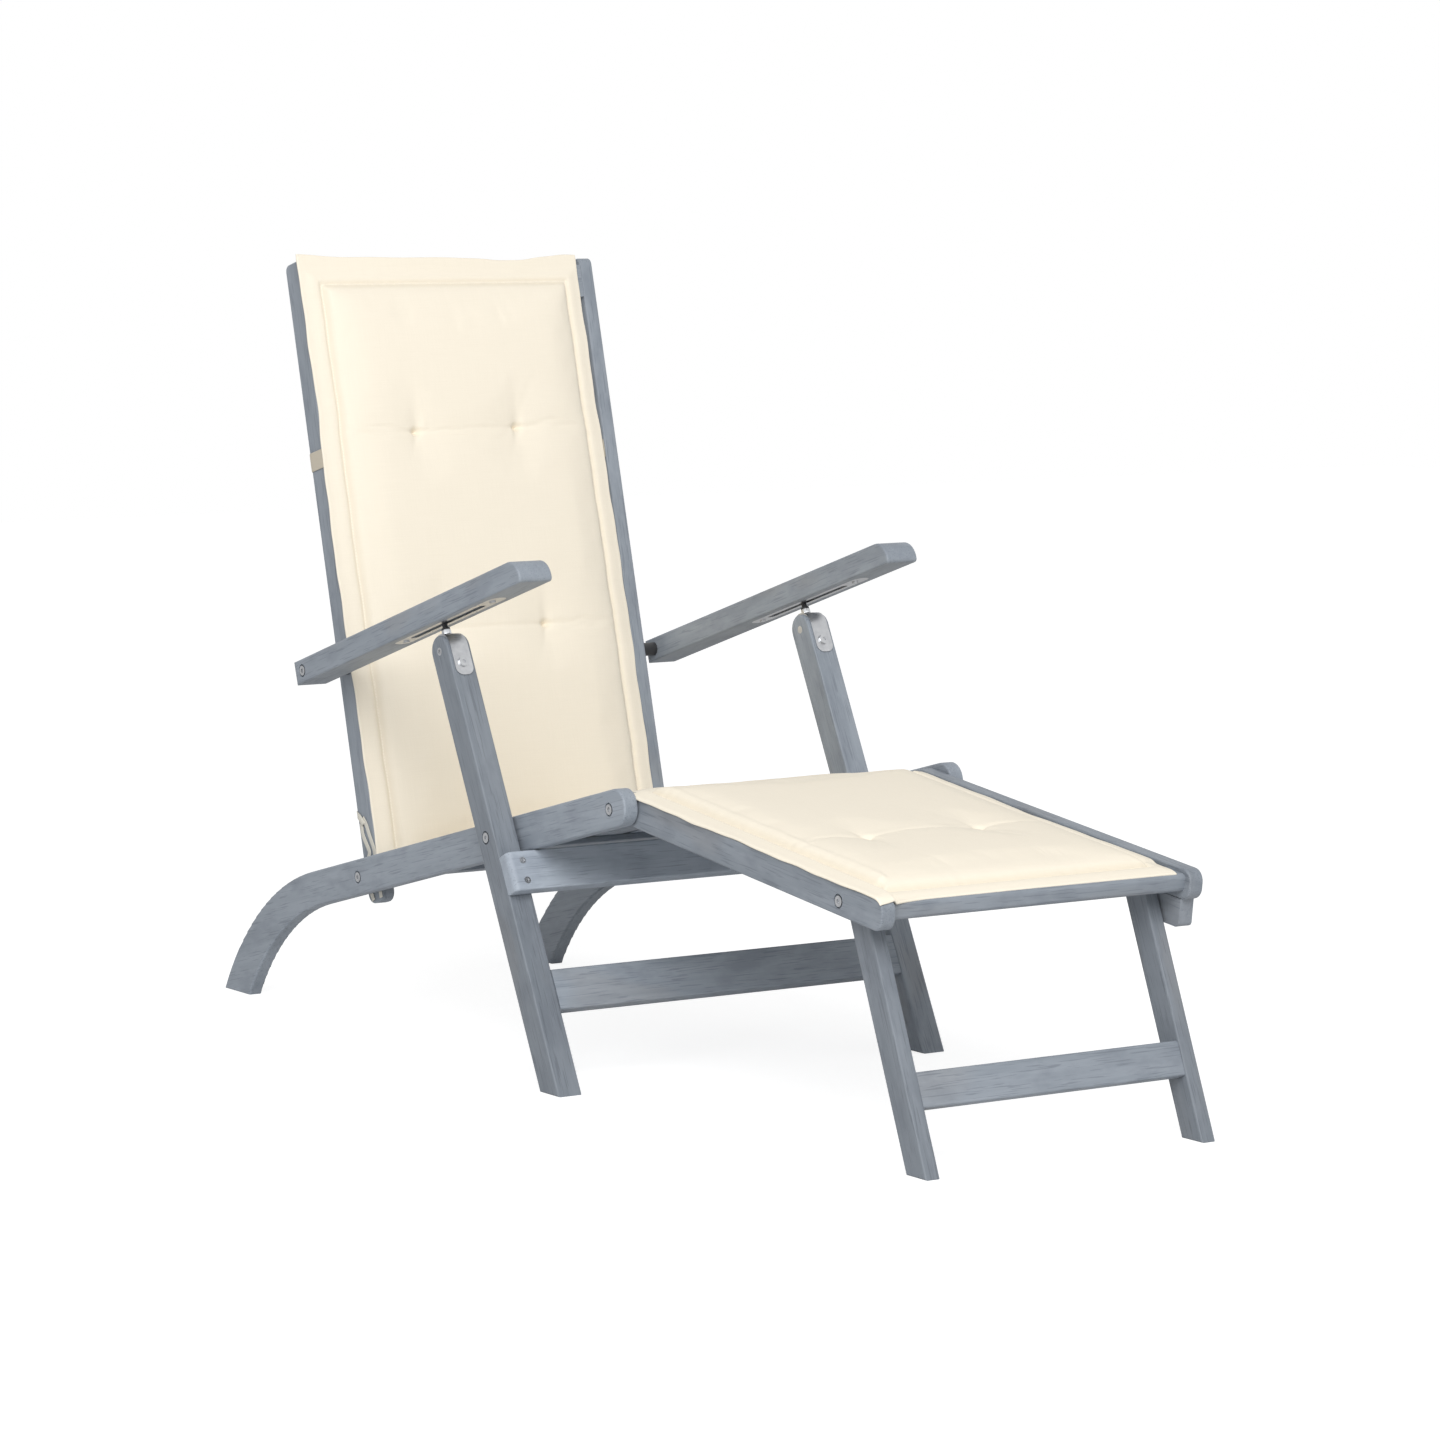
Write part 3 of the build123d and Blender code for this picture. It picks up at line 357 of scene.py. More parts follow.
# Each soft piece works in its own panel: x across, along the member, and up off it
def panelAxes(pitch, sitterAhead=False):
    lean = radians(pitch)
    along = np.array((0.0, cos(lean), sin(lean)))
    up = np.array((0.0, -sin(lean), cos(lean))) * (-1.0 if sitterAhead else 1.0)
    return along, up


def putPiece(name, points, faces, body, paint, smooth=True):
    mesh = bpy.data.meshes.new(name)
    mesh.from_pydata([tuple(p) for p in points], [], [tuple(f) for f in faces])
    mesh.update()
    if smooth:
        mesh.polygons.foreach_set("use_smooth", np.ones(len(mesh.polygons), dtype=bool))
    mesh.materials.append(paint)
    piece = bpy.data.objects.new(name, mesh)
    bpy.context.collection.objects.link(piece)
    if body:
        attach(piece, body)
    return piece


def tubeFaces(rings, sides):
    # quads of a tube laid out ring by ring, and a fan of triangles over each end
    r, c = np.meshgrid(np.arange(rings - 1), np.arange(sides), indexing="ij")
    nextC = (c + 1) % sides
    quads = np.stack((r * sides + c, r * sides + nextC, (r + 1) * sides + nextC,
                      (r + 1) * sides + c), axis=-1)
    first, last, end = rings * sides, rings * sides + 1, (rings - 1) * sides
    return ([tuple(q) for q in quads.reshape(-1, 4)]
            + [(first, (k + 1) % sides, k) for k in range(sides)]
            + [(last, end + k, end + (k + 1) % sides) for k in range(sides)])


# The pad, in metres. A thin flat hem runs outside the border seam, the filling puffs up inside it,
# tufts pull the filling down, and where one length meets the next there is a crease and no hem.
# Each table gives share and distance: how far an edge stands out or in, and dips or droops.
pad = {"halfWidth": 0.2165, "shift": 0.0115, "edge": 0.0034, "hem": 0.022, "seamHalf": 0.0030,
       "hemLoft": 0.0026, "nearHem": 0.004, "seamDepth": 0.0034, "seamSpread": 0.0032,
       "puff": 0.0078, "puffReach": 0.0080, "crown": 0.0215, "crownReach": 0.028,
       "cornerPull": 0.0015, "cornerReach": 0.010, "spacing": 0.0062, "fine": 0.0021,
       "sideFrom": 0.7, "free": (0.0005, 0.004), "tuftFree": (0.003, 0.012), "cap": 0.008,
       "kept": 0.42, "sinks": 0.35, "frames": 14,
       "ripples": ((0.0006, 47.0, 0.7), (0.0004, 101.0, 0.0))}
puckers = {"height": 0.00035, "pitch": 0.019, "sway": 23.0, "inside": 0.002, "reach": 0.006}
# A tuft pulls a dimple, and folds that run out from it: level, upright and slanting. Each fold
# has its depth as a share of the pull, its reach, its width and where along it it is deepest
tuft = {"pull": 0.0100, "dimple": (0.55, 0.0055), "hollow": (0.45, 0.026), "slant": (0.36, 0.93),
        "folds": {"level": (0.40, 0.024, 0.0036, 0.0), "upright": (0.24, 0.028, 0.0080, 0.012),
                  "slanting": (0.13, 0.02, 0.0045, 0.014)}}
# What carries the footrest's length, across the chair and along the footrest: the heads of its
# legs, then the rail's top, outer face and rounded end, and the front bar's rounded nose
under = {"heads": (0.1825, 0.1870), "headsEnd": (0.478, 0.490), "rail": (0.2052, 0.2092),
         "railFace": 0.2282, "droopReach": 0.0045, "endFrom": 0.525, "endRadius": 0.015,
         "endReach": 0.0130, "endSide": (0.2040, 0.2092), "nose": (0.517, 0.528),
         "noseDrop": 0.0020}
level = ((0, 0), (1, 0))
panels = {
    "back": {"node": "back_cushion", "body": "back", "pivot": "back_recline", "pitch": "back",
             "ahead": True, "start": 0.008, "end": 0.830, "base": 0.0188, "folds": (1, 0),
             "endHem": 0.0180, "lift": (0.0, 0.0),
             "tufts": ((0.082, 0.5826), (-0.0745, 0.5845), (0.080, 0.315), (-0.078, 0.315)),
             "near": ((0, 1.5), (0.1, 1.6), (0.25, 2.9), (0.44, 5.2), (0.6, 5.3),
                      (0.69, 3.5), (0.74, 1.5), (0.85, 3.1), (0.95, 4.0), (1, 4.5)),
             "far": ((0, 3.0), (0.12, 3.9), (0.42, 2.6), (0.6, 0.6), (0.67, -0.6),
                     (0.74, -2.4), (0.86, -3.0), (0.96, -3.4), (1, -3.0)),
             "dip": ((0, 5), (0.05, 4), (0.1, 6.3), (0.15, 7.6), (0.2, 11.4), (0.25, 11.4),
                     (0.3, 11.4), (0.35, 8.9), (0.5, 6.3), (0.65, 6.3), (0.75, 5), (0.85, 5),
                     (0.9, 3.8), (0.95, 1.3), (1, 0)),
             "droop": level},
    "seat": {"node": "seat_cushion", "body": "base", "pivot": "back_recline", "pitch": "rail",
             "ahead": False, "start": 0.051, "end": 0.614, "base": 0.0063, "folds": (1, 1),
             "endHem": 0.0, "lift": (0.0, 0.0), "tufts": ((0.080, 0.332), (-0.080, 0.332)),
             "near": ((0, 0), (0.5, -1.5), (1, 0)), "far": ((0, 0), (0.5, -1.5), (1, 0)),
             "dip": level, "droop": level},
    "leg": {"node": "leg_cushion", "body": "footrest", "pivot": "footrest_fold",
            "pitch": "footrest", "ahead": False, "start": 0.013, "end": 0.527, "base": 0.0133,
            "folds": (1, 0), "endHem": 0.0, "lift": (0.0057, 0.0032),
            "tufts": ((0.086, 0.318), (-0.074, 0.320)),
            "near": ((0, 4.5), (0.5, 4.0), (1, 4.8)),
            "far": ((0, -3), (0.3, -5), (0.46, -9), (0.62, -6), (1, -4)),
            "dip": ((0, 0), (0.05, 0.5), (0.5, 1.0), (0.85, 0.3), (0.91, -2), (0.955, -9),
                    (1, -10.5)),
            "droop": ((0, 1.5), (0.1, 2.2), (0.22, 3.0), (0.35, 2.0), (0.5, 1.0), (0.62, 2.4),
                      (0.75, 2.0), (0.82, 1.6), (0.92, 1.2), (1, 1.2))}}


def stations(length, spots):
    # close together over the rim, the border seam and the tufts, even in between
    rim = np.array((0.0, 0.0003, 0.0009, 0.0017, 0.0034, 0.0070, 0.012, 0.0165, 0.0195, 0.0217,
                    0.0233, 0.0250, 0.0267, 0.0285, 0.0305, 0.0325, 0.0345, 0.0370, 0.0395,
                    0.0420, 0.0445, 0.0475, 0.052))
    inner = length - 2 * rim[-1]
    count = max(2, int(round(inner / pad["spacing"])))
    places = np.concatenate((rim[:-1], rim[-1] + inner * np.arange(count + 1) / count,
                             length - rim[-2::-1]))
    for spot in spots:
        places = places[np.abs(places - spot) > 7.6 * pad["fine"]]
        places = np.sort(np.concatenate((places, spot + np.arange(-7, 8) * pad["fine"])))
    return places


def ramp(value, low, high):
    share = np.clip((value - low) / (high - low), 0.0, 1.0)
    return share * share * (3 - 2 * share)


def tableRead(shares, table, reach=0.03):
    # a table of millimetres read between its places, averaged over a short stretch either side
    places, values = np.array(table, dtype=float).T
    steps = np.linspace(-reach, reach, 7)
    return sum(np.interp(shares + step, places, values) for step in steps) / 7000.0


def padSurface(panel):
    # height over the base = a round rim as thick as the hem, then the hem, a groove at the border
    # seam, and a filling that puffs up quickly inside the seam and then more slowly to its crown
    length = panel["end"] - panel["start"]
    half = pad["halfWidth"]
    width = 2 * half
    tuftsX = sorted({round(half + x, 5) for x, _ in panel["tufts"]})
    tuftsY = sorted({round(y - panel["start"], 5) for _, y in panel["tufts"]})
    apart = lambda spots: [spot for i, spot in enumerate(spots)
                           if i == 0 or spot - spots[i - 1] > 0.03]
    across, along = np.meshgrid(stations(width, apart(tuftsX)), stations(length, apart(tuftsY)))
    seamPlace = pad["hem"] + pad["seamHalf"]
    startFold, endFold = panel["folds"]
    dx = np.minimum(across, width - across)
    hemX = np.minimum(across, np.maximum(width - across - pad["nearHem"], 0))
    dy = np.minimum(along, length - along)
    hemY = np.minimum(along + seamPlace * startFold,
                      np.maximum(length - along - panel["endHem"], 0) + seamPlace * endFold)
    d = np.minimum(hemX, hemY)  # from the edge that the border seam runs along
    rimD = np.minimum(dx, dy)
    radius = pad["edge"] / 2
    rim = radius * np.sqrt(np.clip(1 - (1 - np.minimum(rimD, radius) / radius) ** 2, 0, 1))
    run = np.where(hemX < hemY, along, across)
    x = across - half
    inside = np.clip(d - seamPlace, 0, None)
    hemRise = pad["hemLoft"] * ramp(d, radius, 0.8 * pad["hem"])
    groove = pad["seamDepth"] * np.exp(-((d - seamPlace) / pad["seamSpread"]) ** 2)
    pucker = puckers["height"] * np.sin(2 * pi * run / puckers["pitch"]
                                        + 2 * np.sin(run * puckers["sway"]))
    pucker = pucker * np.exp(-((d - seamPlace - puckers["inside"]) / puckers["reach"]) ** 2)
    smoothD = 1 / (1 / np.maximum(hemX - seamPlace, 1e-6) ** 2
                   + 1 / np.maximum(hemY - seamPlace, 1e-6) ** 2) ** 0.5
    slow = pad["crown"] - pad["edge"] - pad["hemLoft"] - pad["puff"]
    filling = (pad["puff"] * (1 - np.exp(-smoothD / pad["puffReach"]))
               + slow * (1 - np.exp(-smoothD / pad["crownReach"]))) * (inside > 0)
    pulled = np.zeros_like(filling)
    for tuftX, tuftY in panel["tufts"]:
        tx, ty = x - tuftX, along - (tuftY - panel["start"])
        near = np.hypot(tx, ty)
        dimple = (tuft["dimple"][0] * np.exp(-(near / tuft["dimple"][1]) ** 2)
                  + tuft["hollow"][0] * np.exp(-near / tuft["hollow"][1]))
        slantX, slantY = tuft["slant"]
        runs = {"level": (tx, ty), "upright": (ty, tx),
                "slanting": (slantX * tx - slantY * ty, slantY * tx + slantX * ty)}
        pulled = np.maximum(pulled, dimple)
        for fold, (depth, reach, wide, deepest) in tuft["folds"].items():
            out, off = runs[fold]
            pulled = pulled + depth * np.exp(-np.abs(out - deepest) / reach - (off / wide) ** 2)
    body = hemRise - groove + pucker + filling - tuft["pull"] * pulled * ramp(inside, 0.0, 0.02)
    top = radius + rim + body * ramp(rimD, 0.0, radius)
    bottom = np.maximum(radius - rim, 0)
    # the hem stands out or in by the tables and dips or reaches on at its end
    share = along / length
    outward = np.where(x > 0, tableRead(share, panel["near"]), tableRead(share, panel["far"]))
    weight = ramp(np.abs(x) / half, pad["sideFrom"], 1.0)
    ripple = sum(high * np.sin(along * turn + start) for high, turn, start in pad["ripples"])
    corner = np.exp(-dx / pad["cornerReach"] - dy / pad["cornerReach"]) * pad["cornerPull"]
    placeX = x + np.sign(x) * (weight * (outward + ripple) - corner)
    dip = tableRead(across / width, panel["dip"], 0.02)
    placeY = along - dip * (1 - ramp(length - along, 0.0, seamPlace + panel["endHem"]))
    # the footrest's length lies on the heads and the rail, droops past the rail's outer face and
    # follows its rounded end, a fall of radius - sqrt(radius ^ 2 - distance past ^ 2)
    frameX, frameY = placeX + pad["shift"], placeY + panel["start"]
    overRail, overHead = panel["lift"]
    heads = (overHead * ramp(np.abs(frameX), *under["heads"])
             * (1 - ramp(frameY, *under["headsEnd"])))
    onRail = ramp(frameX, *under["rail"])
    beyond = np.clip((frameX - under["railFace"]) / under["droopReach"], 0.0, 1.2)
    past = np.clip(frameY - under["endFrom"], 0.0, under["endReach"])
    railEnd = ((under["endRadius"] - np.sqrt(under["endRadius"] ** 2 - past ** 2))
               * ramp(frameX, *under["endSide"]))
    nose = under["noseDrop"] * ramp(frameY, *under["nose"]) * (1 - onRail)
    lift = (np.maximum(heads, overRail * onRail) - tableRead(share, panel["droop"]) * beyond
            - (railEnd + nose) * (overRail > 0))
    return placeX, placeY, top + lift, bottom + lift, d, run, x, along


def closedSheets(columns, rows):
    # the upper and lower sheet share their rim, so the pad is one closed surface
    count = rows * columns
    index = np.arange(count).reshape(rows, columns)
    rimMask = np.zeros((rows, columns), dtype=bool)
    rimMask[0], rimMask[-1], rimMask[:, 0], rimMask[:, -1] = True, True, True, True
    lower = np.full((rows, columns), -1)
    lower[~rimMask] = count + np.arange((~rimMask).sum())
    lower[rimMask] = index[rimMask]
    upperFaces = np.stack((index[:-1, :-1], index[:-1, 1:], index[1:, 1:], index[1:, :-1]), -1)
    lowerFaces = np.stack((lower[:-1, :-1], lower[1:, :-1], lower[1:, 1:], lower[:-1, 1:]), -1)
    return index, lower, rimMask, upperFaces.reshape(-1, 4), lowerFaces.reshape(-1, 4)


clothPhysics = {"quality": 6, "mass": 0.25, "tension_stiffness": 12.0,
                "compression_stiffness": 8.0, "shear_stiffness": 6.0, "bending_stiffness": 0.35,
                "use_pressure": True, "uniform_pressure_force": 4.0, "shrink_min": -0.01}


def inflated(piece, mesh, pinned, frames):
    # the crown is cloth under pressure, held at its hem, seam, base and tufts
    group = piece.vertex_groups.new(name="heldDown")
    for weight in np.unique(pinned):
        chosen = np.nonzero(pinned == weight)[0]
        group.add([int(i) for i in chosen], float(weight), "REPLACE")
    cloth = piece.modifiers.new("fill", "CLOTH")
    settings = cloth.settings
    for key, value in clothPhysics.items():
        setattr(settings, key, value)
    settings.vertex_group_mass = group.name
    settings.effector_weights.gravity = 0.0
    cloth.collision_settings.use_collision = False
    cloth.point_cache.frame_start, cloth.point_cache.frame_end = 1, frames
    start = np.empty(len(mesh.vertices) * 3)
    mesh.vertices.foreach_get("co", start)
    scene = bpy.context.scene
    for number in range(1, frames + 1):
        scene.frame_set(number)
    result = bpy.data.meshes.new_from_object(
        piece.evaluated_get(bpy.context.evaluated_depsgraph_get()))
    end = np.empty(len(result.vertices) * 3)
    result.vertices.foreach_get("co", end)
    bpy.data.meshes.remove(result)
    piece.modifiers.remove(cloth)
    scene.frame_set(1)
    move = (end - start).reshape(-1, 3)
    far = np.linalg.norm(move, axis=1, keepdims=True)
    return start.reshape(-1, 3), move * np.minimum(1.0, pad["cap"] / np.maximum(far, 1e-9))


def sewPad(key, panel, paint):
    px, py, top, bottom, d, seamRun, x, along = padSurface(panel)
    rows, columns = px.shape
    index, lower, rim, upperFaces, lowerFaces = closedSheets(columns, rows)
    alongAxis, upAxis = panelAxes(pitches[panel["pitch"]], panel["ahead"])
    origin = pivots[panel["pivot"]] * np.array((0.0, 1.0, 1.0))

    def inFrame(px, py, height):
        return (origin + (px + pad["shift"])[..., None] * np.array((1.0, 0, 0))
                + (py + panel["start"])[..., None] * alongAxis
                + (height + panel["base"])[..., None] * upAxis)

    upperPoints = inFrame(px, py, top).reshape(-1, 3)
    lowerPoints = inFrame(px, py, bottom)[~rim]
    points = np.concatenate((upperPoints, lowerPoints))
    faces = np.concatenate((upperFaces, lowerFaces))
    if panel["ahead"]:
        faces = faces[:, ::-1]
    piece = putPiece(f"{key}Pad", points, faces, None, paint)
    mesh = piece.data
    seamPlace = pad["hem"] + pad["seamHalf"]
    held = np.ones(len(points))
    free = ramp(d, *(seamPlace + inside for inside in pad["free"]))
    for tuftX, tuftY in panel["tufts"]:
        near = np.hypot(x - tuftX, along - (tuftY - panel["start"]))
        free = free * ramp(near, *pad["tuftFree"])
    held[:rows * columns] = np.round(1 - free.reshape(-1), 2)
    start, move = inflated(piece, mesh, held, pad["frames"])
    lift = move @ upAxis
    move[lift < 0] *= pad["sinks"]
    soft = (1 - held)[:, None]
    mesh.vertices.foreach_set("co", (start + move * soft * pad["kept"]).reshape(-1))
    piece.vertex_groups.clear()
    print(f"{key} pad filled, crown moved", round(float(np.abs(lift).max()) * 1000, 1), "mm")
    # maps that follow the cloth: its weave, and the run of the border seam
    clothMap = mesh.uv_layers.new(name="clothMap")
    upperRun = np.stack((px + 0.5, py + 0.1), -1).reshape(-1, 2)
    lowerRun = np.stack((px + 1.5, py + 0.1), -1)[~rim]
    perPoint = np.concatenate((upperRun, lowerRun))
    corners = np.empty(len(mesh.loops), dtype=np.int32)
    mesh.loops.foreach_get("vertex_index", corners)
    clothMap.data.foreach_set("uv", perPoint[corners].astype(np.float32).reshape(-1))
    offset = np.full(len(points), 0.02)
    offset[:rows * columns] = (d - seamPlace).reshape(-1)
    run = np.zeros(len(points))
    run[:rows * columns] = seamRun.reshape(-1)
    for name, values in (("seamOffset", offset), ("seamRun", run)):
        layer = mesh.attributes.new(name, "FLOAT", "POINT")
        layer.data.foreach_set("value", values.astype(np.float32))
    mesh.update()
    rounder = piece.modifiers.new("rounder", "SUBSURF")
    rounder.levels = rounder.render_levels = 1
    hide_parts(panel["node"])
    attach(piece, panel["body"])
    finished = np.empty(len(points) * 3)
    mesh.vertices.foreach_get("co", finished)
    top = finished.reshape(-1, 3)[:rows * columns]
    for number, (tuftX, tuftY) in enumerate(panel["tufts"]):
        sewTuft(f"{key}TuftStitch{number + 1}", panel, top, x, along, tuftX, tuftY, upAxis)


# Tapes: a profile with rounded edges carried along a path of points in the back's own panel
tape = {"bandWidth": 0.025, "bandThick": 0.0013, "bandAt": 0.555, "tieWidth": 0.009,
        "tieAt": 0.081, "thick": 0.0010, "tailWidth": 0.0080, "knotWidth": 0.0075,
        "knotThick": 0.0026, "stileOutside": 0.2290, "stileInside": 0.2090,
        "stileRear": -0.0185, "gap": 0.0004, "sides": 16, "oval": (0.35, 0.8)}
tails = (((0.076, -0.006), (0.066, -0.0095), (0.054, -0.0086), (0.041, -0.002), (0.031, 0.002),
          (0.021, -0.004), (0.010, -0.0118), (-0.004, -0.0128), (-0.016, -0.0090),
          (-0.032, -0.0035)),
         ((0.077, -0.004), (0.067, 0.003), (0.054, 0.0075), (0.042, 0.0120), (0.032, 0.0152),
          (0.020, 0.0158), (0.008, 0.0152), (-0.006, 0.0150), (-0.018, 0.0165),
          (-0.031, 0.0172)))  # distance up the stile, and ahead of its middle line


def smoothPath(points, count):
    # a smooth run through all the points: between two of them a cubic of its four neighbours
    p = np.asarray(points, dtype=float)
    ends = np.vstack((2 * p[0] - p[1], p, 2 * p[-1] - p[-2]))
    t = np.linspace(0, len(p) - 1 - 1e-9, count)
    i = t.astype(int)
    f = (t - i)[:, None]
    a, b, c, d = ends[i], ends[i + 1], ends[i + 2], ends[i + 3]
    return 0.5 * (2 * b + (c - a) * f + (2 * a - 5 * b + 4 * c - d) * f ** 2
                  + (3 * b - a - 3 * c + d) * f ** 3)


def tapeAlong(name, points, widthAxis, width, thick, body, paint, count=90):
    # a flat oval profile carried along the path, and closed at its ends: each ring lies at
    # path + wide * cos(turn) ^ a * width / 2 + out * sin(turn) ^ b * thick / 2, with signs kept
    path = smoothPath(points, count)
    axis = np.asarray(widthAxis, dtype=float)
    run = np.gradient(path, axis=0)
    run /= np.linalg.norm(run, axis=1, keepdims=True)
    wide = axis[None, :] - run * (run @ axis)[:, None]
    wide /= np.linalg.norm(wide, axis=1, keepdims=True)
    out = np.cross(run, wide)
    sides = tape["sides"]
    turn = np.arange(sides) * 2 * pi / sides
    ovalX, ovalY = (np.sign(side) * np.abs(side) ** power
                    for side, power in zip((np.cos(turn), np.sin(turn)), tape["oval"]))
    distance = np.concatenate(([0.0], np.cumsum(np.linalg.norm(np.diff(path, axis=0), axis=1))))
    rings = (path[:, None, :] + wide[:, None, :] * ovalX[None, :, None] * width / 2
             + out[:, None, :] * (ovalY[None, :, None] * thick / 2))
    ends = np.concatenate((rings.reshape(-1, 3), path[:1], path[-1:]))
    piece = putPiece(name, ends, tubeFaces(count, sides), body, paint)
    mesh = piece.data
    uv = mesh.uv_layers.new(name="clothMap")
    flat = np.stack((np.broadcast_to(ovalX * width / 2, (count, sides)),
                     np.broadcast_to(distance[:, None], (count, sides))), -1).reshape(-1, 2)
    flat = np.concatenate((flat, np.array(((0.0, 0.0), (0.0, distance[-1])))))
    corners = np.empty(len(mesh.loops), dtype=np.int32)
    mesh.loops.foreach_get("vertex_index", corners)
    uv.data.foreach_set("uv", flat[corners].astype(np.float32).reshape(-1))
    return piece


def backPoint(x, along, out):
    alongAxis, upAxis = panelAxes(pitches["back"], True)
    origin = pivots["back_recline"] * np.array((0.0, 1.0, 1.0))
    return origin + np.array((x, 0.0, 0.0)) + along * alongAxis + out * upAxis


def tieTapes():
    tanWeb = wovenCloth("tanWebbing", False, tan)
    tieCloth = wovenCloth("creamTie", False, tieYarn)
    alongAxis, upAxis = panelAxes(pitches["back"], True)

    def laid(name, spots, widthAxis, width, thick, paint, count):
        points = [backPoint(*spot) for spot in spots]
        return tapeAlong(name, points, widthAxis, width, thick, "back", paint, count)

    at, gap = tape["bandAt"], tape["gap"] + tape["bandThick"] / 2
    outside, inside = tape["stileOutside"] + gap, tape["stileInside"] - gap
    rear = tape["stileRear"] - gap
    band = [(outside - 0.001, at, 0.0190), (outside, at, 0.012), (outside, at, 0.0),
            (outside, at, -0.012), (outside - 0.0015, at, rear + 0.0015),
            (outside - 0.008, at, rear), (0.19, at, rear), (0.10, at - 0.001, rear + 0.0005),
            (0.0, at - 0.002, rear + 0.001), (-0.10, at - 0.001, rear + 0.0005),
            (-inside + 0.008, at, rear), (-inside + 0.0015, at, rear + 0.0015),
            (-inside, at, -0.008), (-inside, at, 0.006), (-inside, at, 0.0180)]
    webbing = laid("cushionBandTape", band, alongAxis, tape["bandWidth"], tape["bandThick"],
                   tanWeb, 160)
    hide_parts("cushion_band")
    # the tie comes round the stile from the pad, is knotted on its outer face, and hangs down
    # either side of the pivot's washer, between the stile and the side rail
    at, gap = tape["tieAt"], tape["gap"] + tape["thick"] / 2
    outside, inside = tape["stileOutside"] + gap, tape["stileInside"] - gap
    rear = tape["stileRear"] - gap
    wrap = [(outside + 0.0004, at - 0.008, -0.006), (outside + 0.0002, at - 0.002, -0.012),
            (outside - 0.0012, at + 0.003, rear + 0.0012), (outside - 0.008, at + 0.003, rear),
            (inside + 0.008, at, rear), (inside + 0.0015, at, rear + 0.0015),
            (inside, at, -0.010), (inside, at, 0.004), (inside, at + 0.002, 0.0180)]
    loop = laid("cushionTieLoop", wrap, alongAxis, tape["tieWidth"], tape["thick"], tieCloth,
                110)
    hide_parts("cushion_ties")
    knot = [(outside + 0.0008, at - 0.001, -0.011), (outside + 0.0016, at - 0.006, -0.006),
            (outside + 0.0008, at - 0.012, -0.002)]
    laid("cushionTieKnot", knot, upAxis + alongAxis * 0.4, tape["knotWidth"], tape["knotThick"],
         tieCloth, 24)
    for number, tail in enumerate(tails):
        laid(f"cushionTieTail{number + 1}", [(outside + 0.0001, *spot) for spot in tail], upAxis,
             tape["tailWidth"], tape["thick"], tieCloth, 70)


tuftStitch = {"steps": (-0.0046, -0.0030, 0.0, 0.0030, 0.0046), "over": 0.0009, "sunk": -0.0004,
              "sunkFrom": 0.004, "width": 0.0020, "thick": 0.0014}


def sewTuft(name, panel, top, x, along, tuftX, tuftY, upAxis):
    # a short stitch of thick thread that lies on the cloth, across the tuft's dimple
    path = []
    for step in tuftStitch["steps"]:
        spot = np.hypot(x - tuftX, along - (tuftY - panel["start"]) - step).reshape(-1).argmin()
        high = "over" if abs(step) < tuftStitch["sunkFrom"] else "sunk"
        path.append(top[spot] + upAxis * tuftStitch[high])
    tapeAlong(name, path, (1.0, 0.0, 0.0), tuftStitch["width"], tuftStitch["thick"],
              panel["body"], threadPaint, 24)


# The cloth between two lengths: where it runs, as a length, the distance along it and off it
joins = {"creaseStrip": (("back", 0.0100, 0.0206), ("back", 0.0075, 0.0260),
                         ("seat", 0.0400, 0.0075), ("seat", 0.0530, 0.0080)),
         "crestStrip": (("seat", 0.6120, 0.0085), ("seat", 0.6240, 0.0110),
                        ("leg", -0.0010, 0.0160), ("leg", 0.0150, 0.0152))}
joinWidth, joinThick, joinShift = 0.356, 0.0034, 0.001


def joinStrip(name, points):
    # a thin wide sheet carried along the fold
    line = [np.array((joinShift, y, z)) for y, z in points]
    strip = tapeAlong(name, line, (1.0, 0.0, 0.0), joinWidth, joinThick, None, clothPaint,
                      40)
    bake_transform(strip)


def panelPoint(key, along, height):
    alongAxis, upAxis = panelAxes(pitches[panels[key]["pitch"]], panels[key]["ahead"])
    place = pivots[panels[key]["pivot"]] + along * alongAxis + height * upAxis
    return float(place[1]), float(place[2])


clothPaint = wovenCloth("creamCanvas")
threadPaint = wovenCloth("creamThread", False)
for key, panel in panels.items():
    sewPad(key, panel, clothPaint)
print("pads sewn")
for name, stops in joins.items():
    joinStrip(name, [panelPoint(*stop) for stop in stops])
print("lengths joined")
tieTapes()
print("tapes tied")


# Studio: white room, one broad lamp ahead and above, even light all round
studio = {"room": 0.48, "white": 1.0, "keyPower": 249.0, "keySize": 3.7,
          "keyPlace": (2.6, 3.85, 3.7), "aim": (0.0, 0.0, 0.45), "floor": 0.86,
          "floorSeen": 0.42, "floorGlow": 0.81, "floorSize": 9.0}


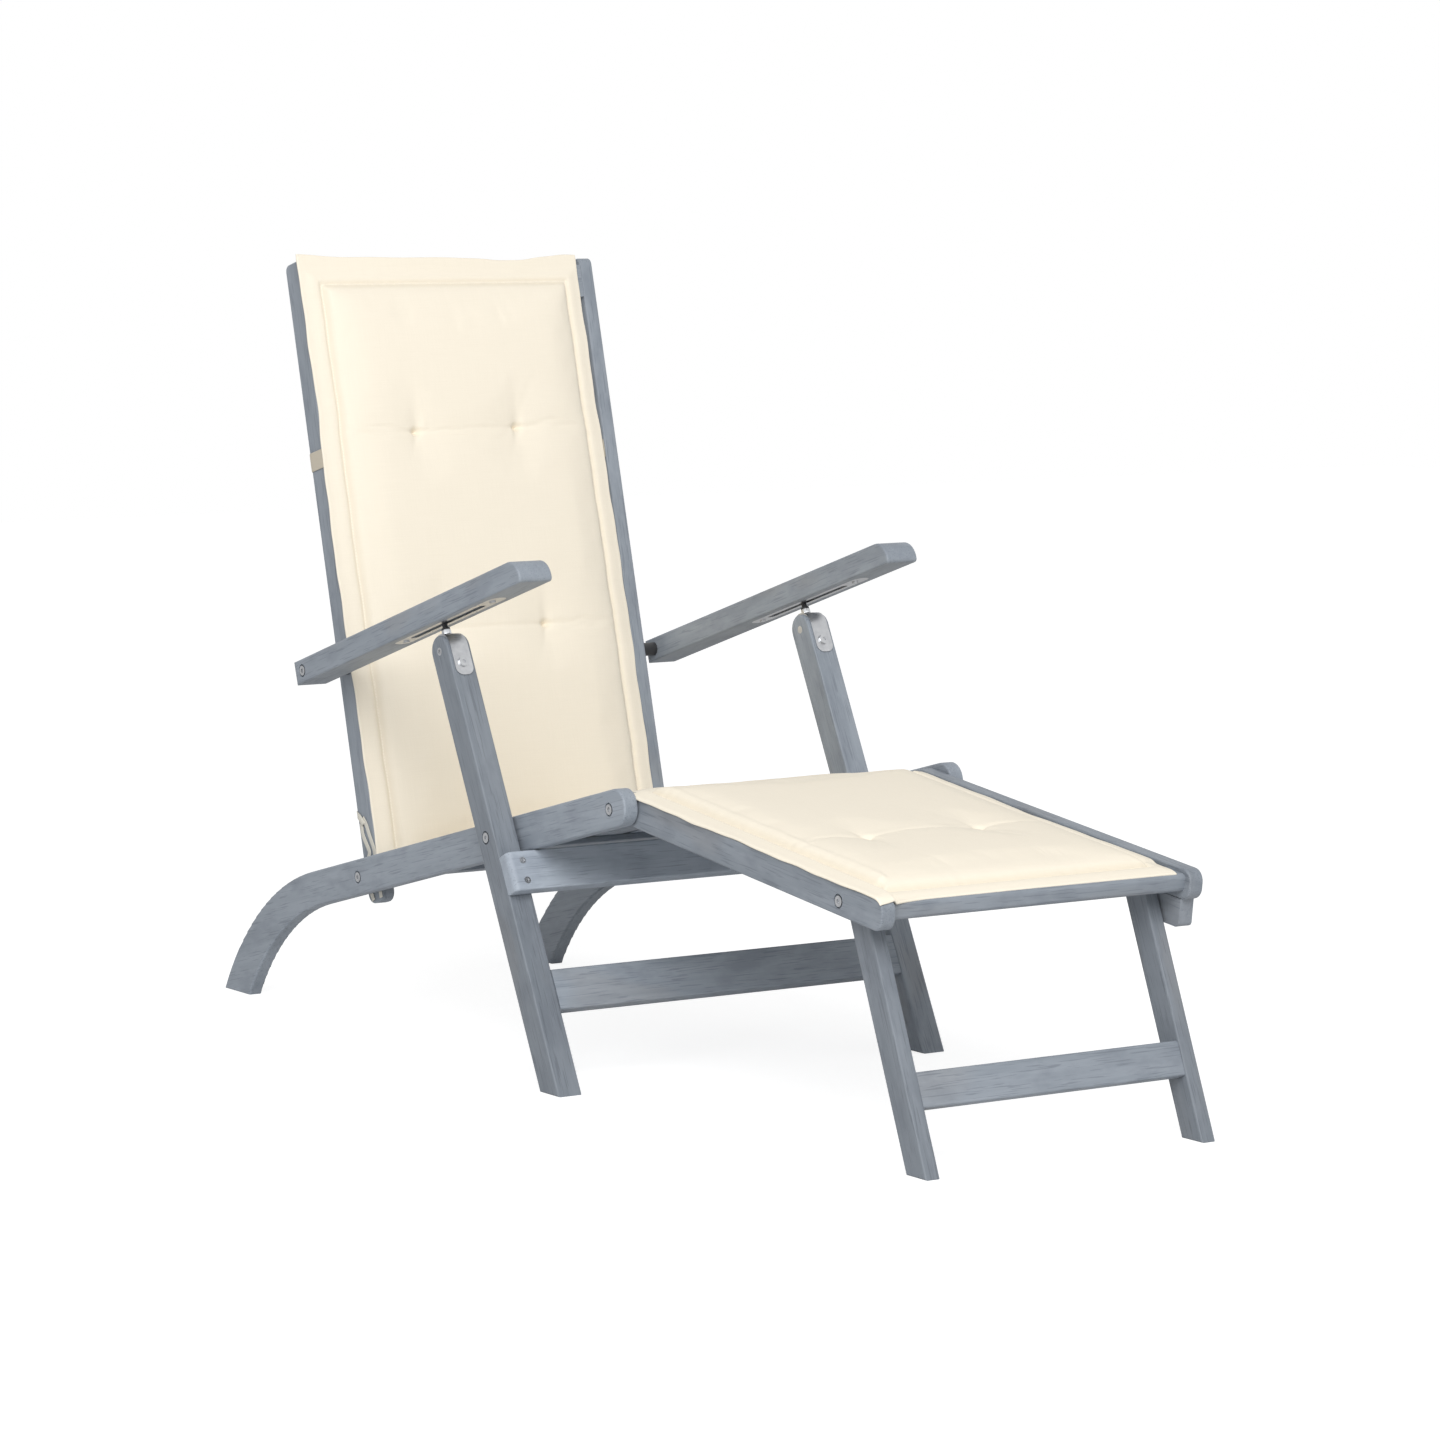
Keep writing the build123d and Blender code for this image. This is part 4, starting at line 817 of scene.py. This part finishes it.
def setWorld():
    world = bpy.data.worlds.new("paleRoom")
    bpy.context.scene.world = world
    world.use_nodes = True
    tree = world.node_tree
    tree.nodes.clear()
    path = tree.nodes.new("ShaderNodeLightPath")
    seen = path.outputs["Is Camera Ray"]
    for ray in ("Is Transmission Ray", "Is Glossy Ray"):
        both = tree.nodes.new("ShaderNodeMath")
        both.operation = "MAXIMUM"
        tree.links.new(seen, both.inputs[0])
        tree.links.new(path.outputs[ray], both.inputs[1])
        seen = both.outputs[0]
    room = tree.nodes.new("ShaderNodeBackground")
    room.inputs["Color"].default_value = (1.0, 1.0, 1.0, 1.0)
    room.inputs["Strength"].default_value = studio["room"]
    white = tree.nodes.new("ShaderNodeBackground")
    white.inputs["Color"].default_value = (1.0, 1.0, 1.0, 1.0)
    white.inputs["Strength"].default_value = studio["white"]
    choose = tree.nodes.new("ShaderNodeMixShader")
    out = tree.nodes.new("ShaderNodeOutputWorld")
    tree.links.new(seen, choose.inputs[0])
    tree.links.new(room.outputs[0], choose.inputs[1])
    tree.links.new(white.outputs[0], choose.inputs[2])
    tree.links.new(choose.outputs[0], out.inputs[0])


def setLamp():
    data = bpy.data.lights.new("keyLamp", "AREA")
    data.shape, data.size, data.energy = "SQUARE", studio["keySize"], studio["keyPower"]
    lamp = bpy.data.objects.new("keyLamp", data)
    bpy.context.collection.objects.link(lamp)
    lamp.location = studio["keyPlace"]
    aim = Vector(studio["aim"]) - lamp.location
    lamp.rotation_euler = aim.to_track_quat("-Z", "Y").to_euler()


def setFloor():
    sheet = Sheet("paleFloor")
    seen = sheet.add("ShaderNodeLightPath", {}, {}, 0)
    matt = sheet.add("ShaderNodeBsdfDiffuse", {}, {"Color": (*(studio["floor"],) * 3, 1.0)})
    pale = sheet.add("ShaderNodeBsdfDiffuse", {}, {"Color": (*(studio["floorSeen"],) * 3, 1.0)})
    glow = sheet.add("ShaderNodeEmission", {}, {"Color": (1.0, 1.0, 1.0, 1.0),
                                               "Strength": studio["floorGlow"]})
    both = sheet.add("ShaderNodeAddShader", {}, {0: pale, 1: glow})
    paint = sheet.finish(sheet.add("ShaderNodeMixShader", {}, {0: seen, 1: matt, 2: both}))
    half = studio["floorSize"]
    corners = [(-half, -half, 0), (half, -half, 0), (half, half, 0), (-half, half, 0)]
    floor = putPiece("floor", corners, [(0, 1, 2, 3)], None, paint, False)


setWorld()
setLamp()
setFloor()
bpy.context.scene.view_settings.view_transform = "Standard"
print("studio lit")
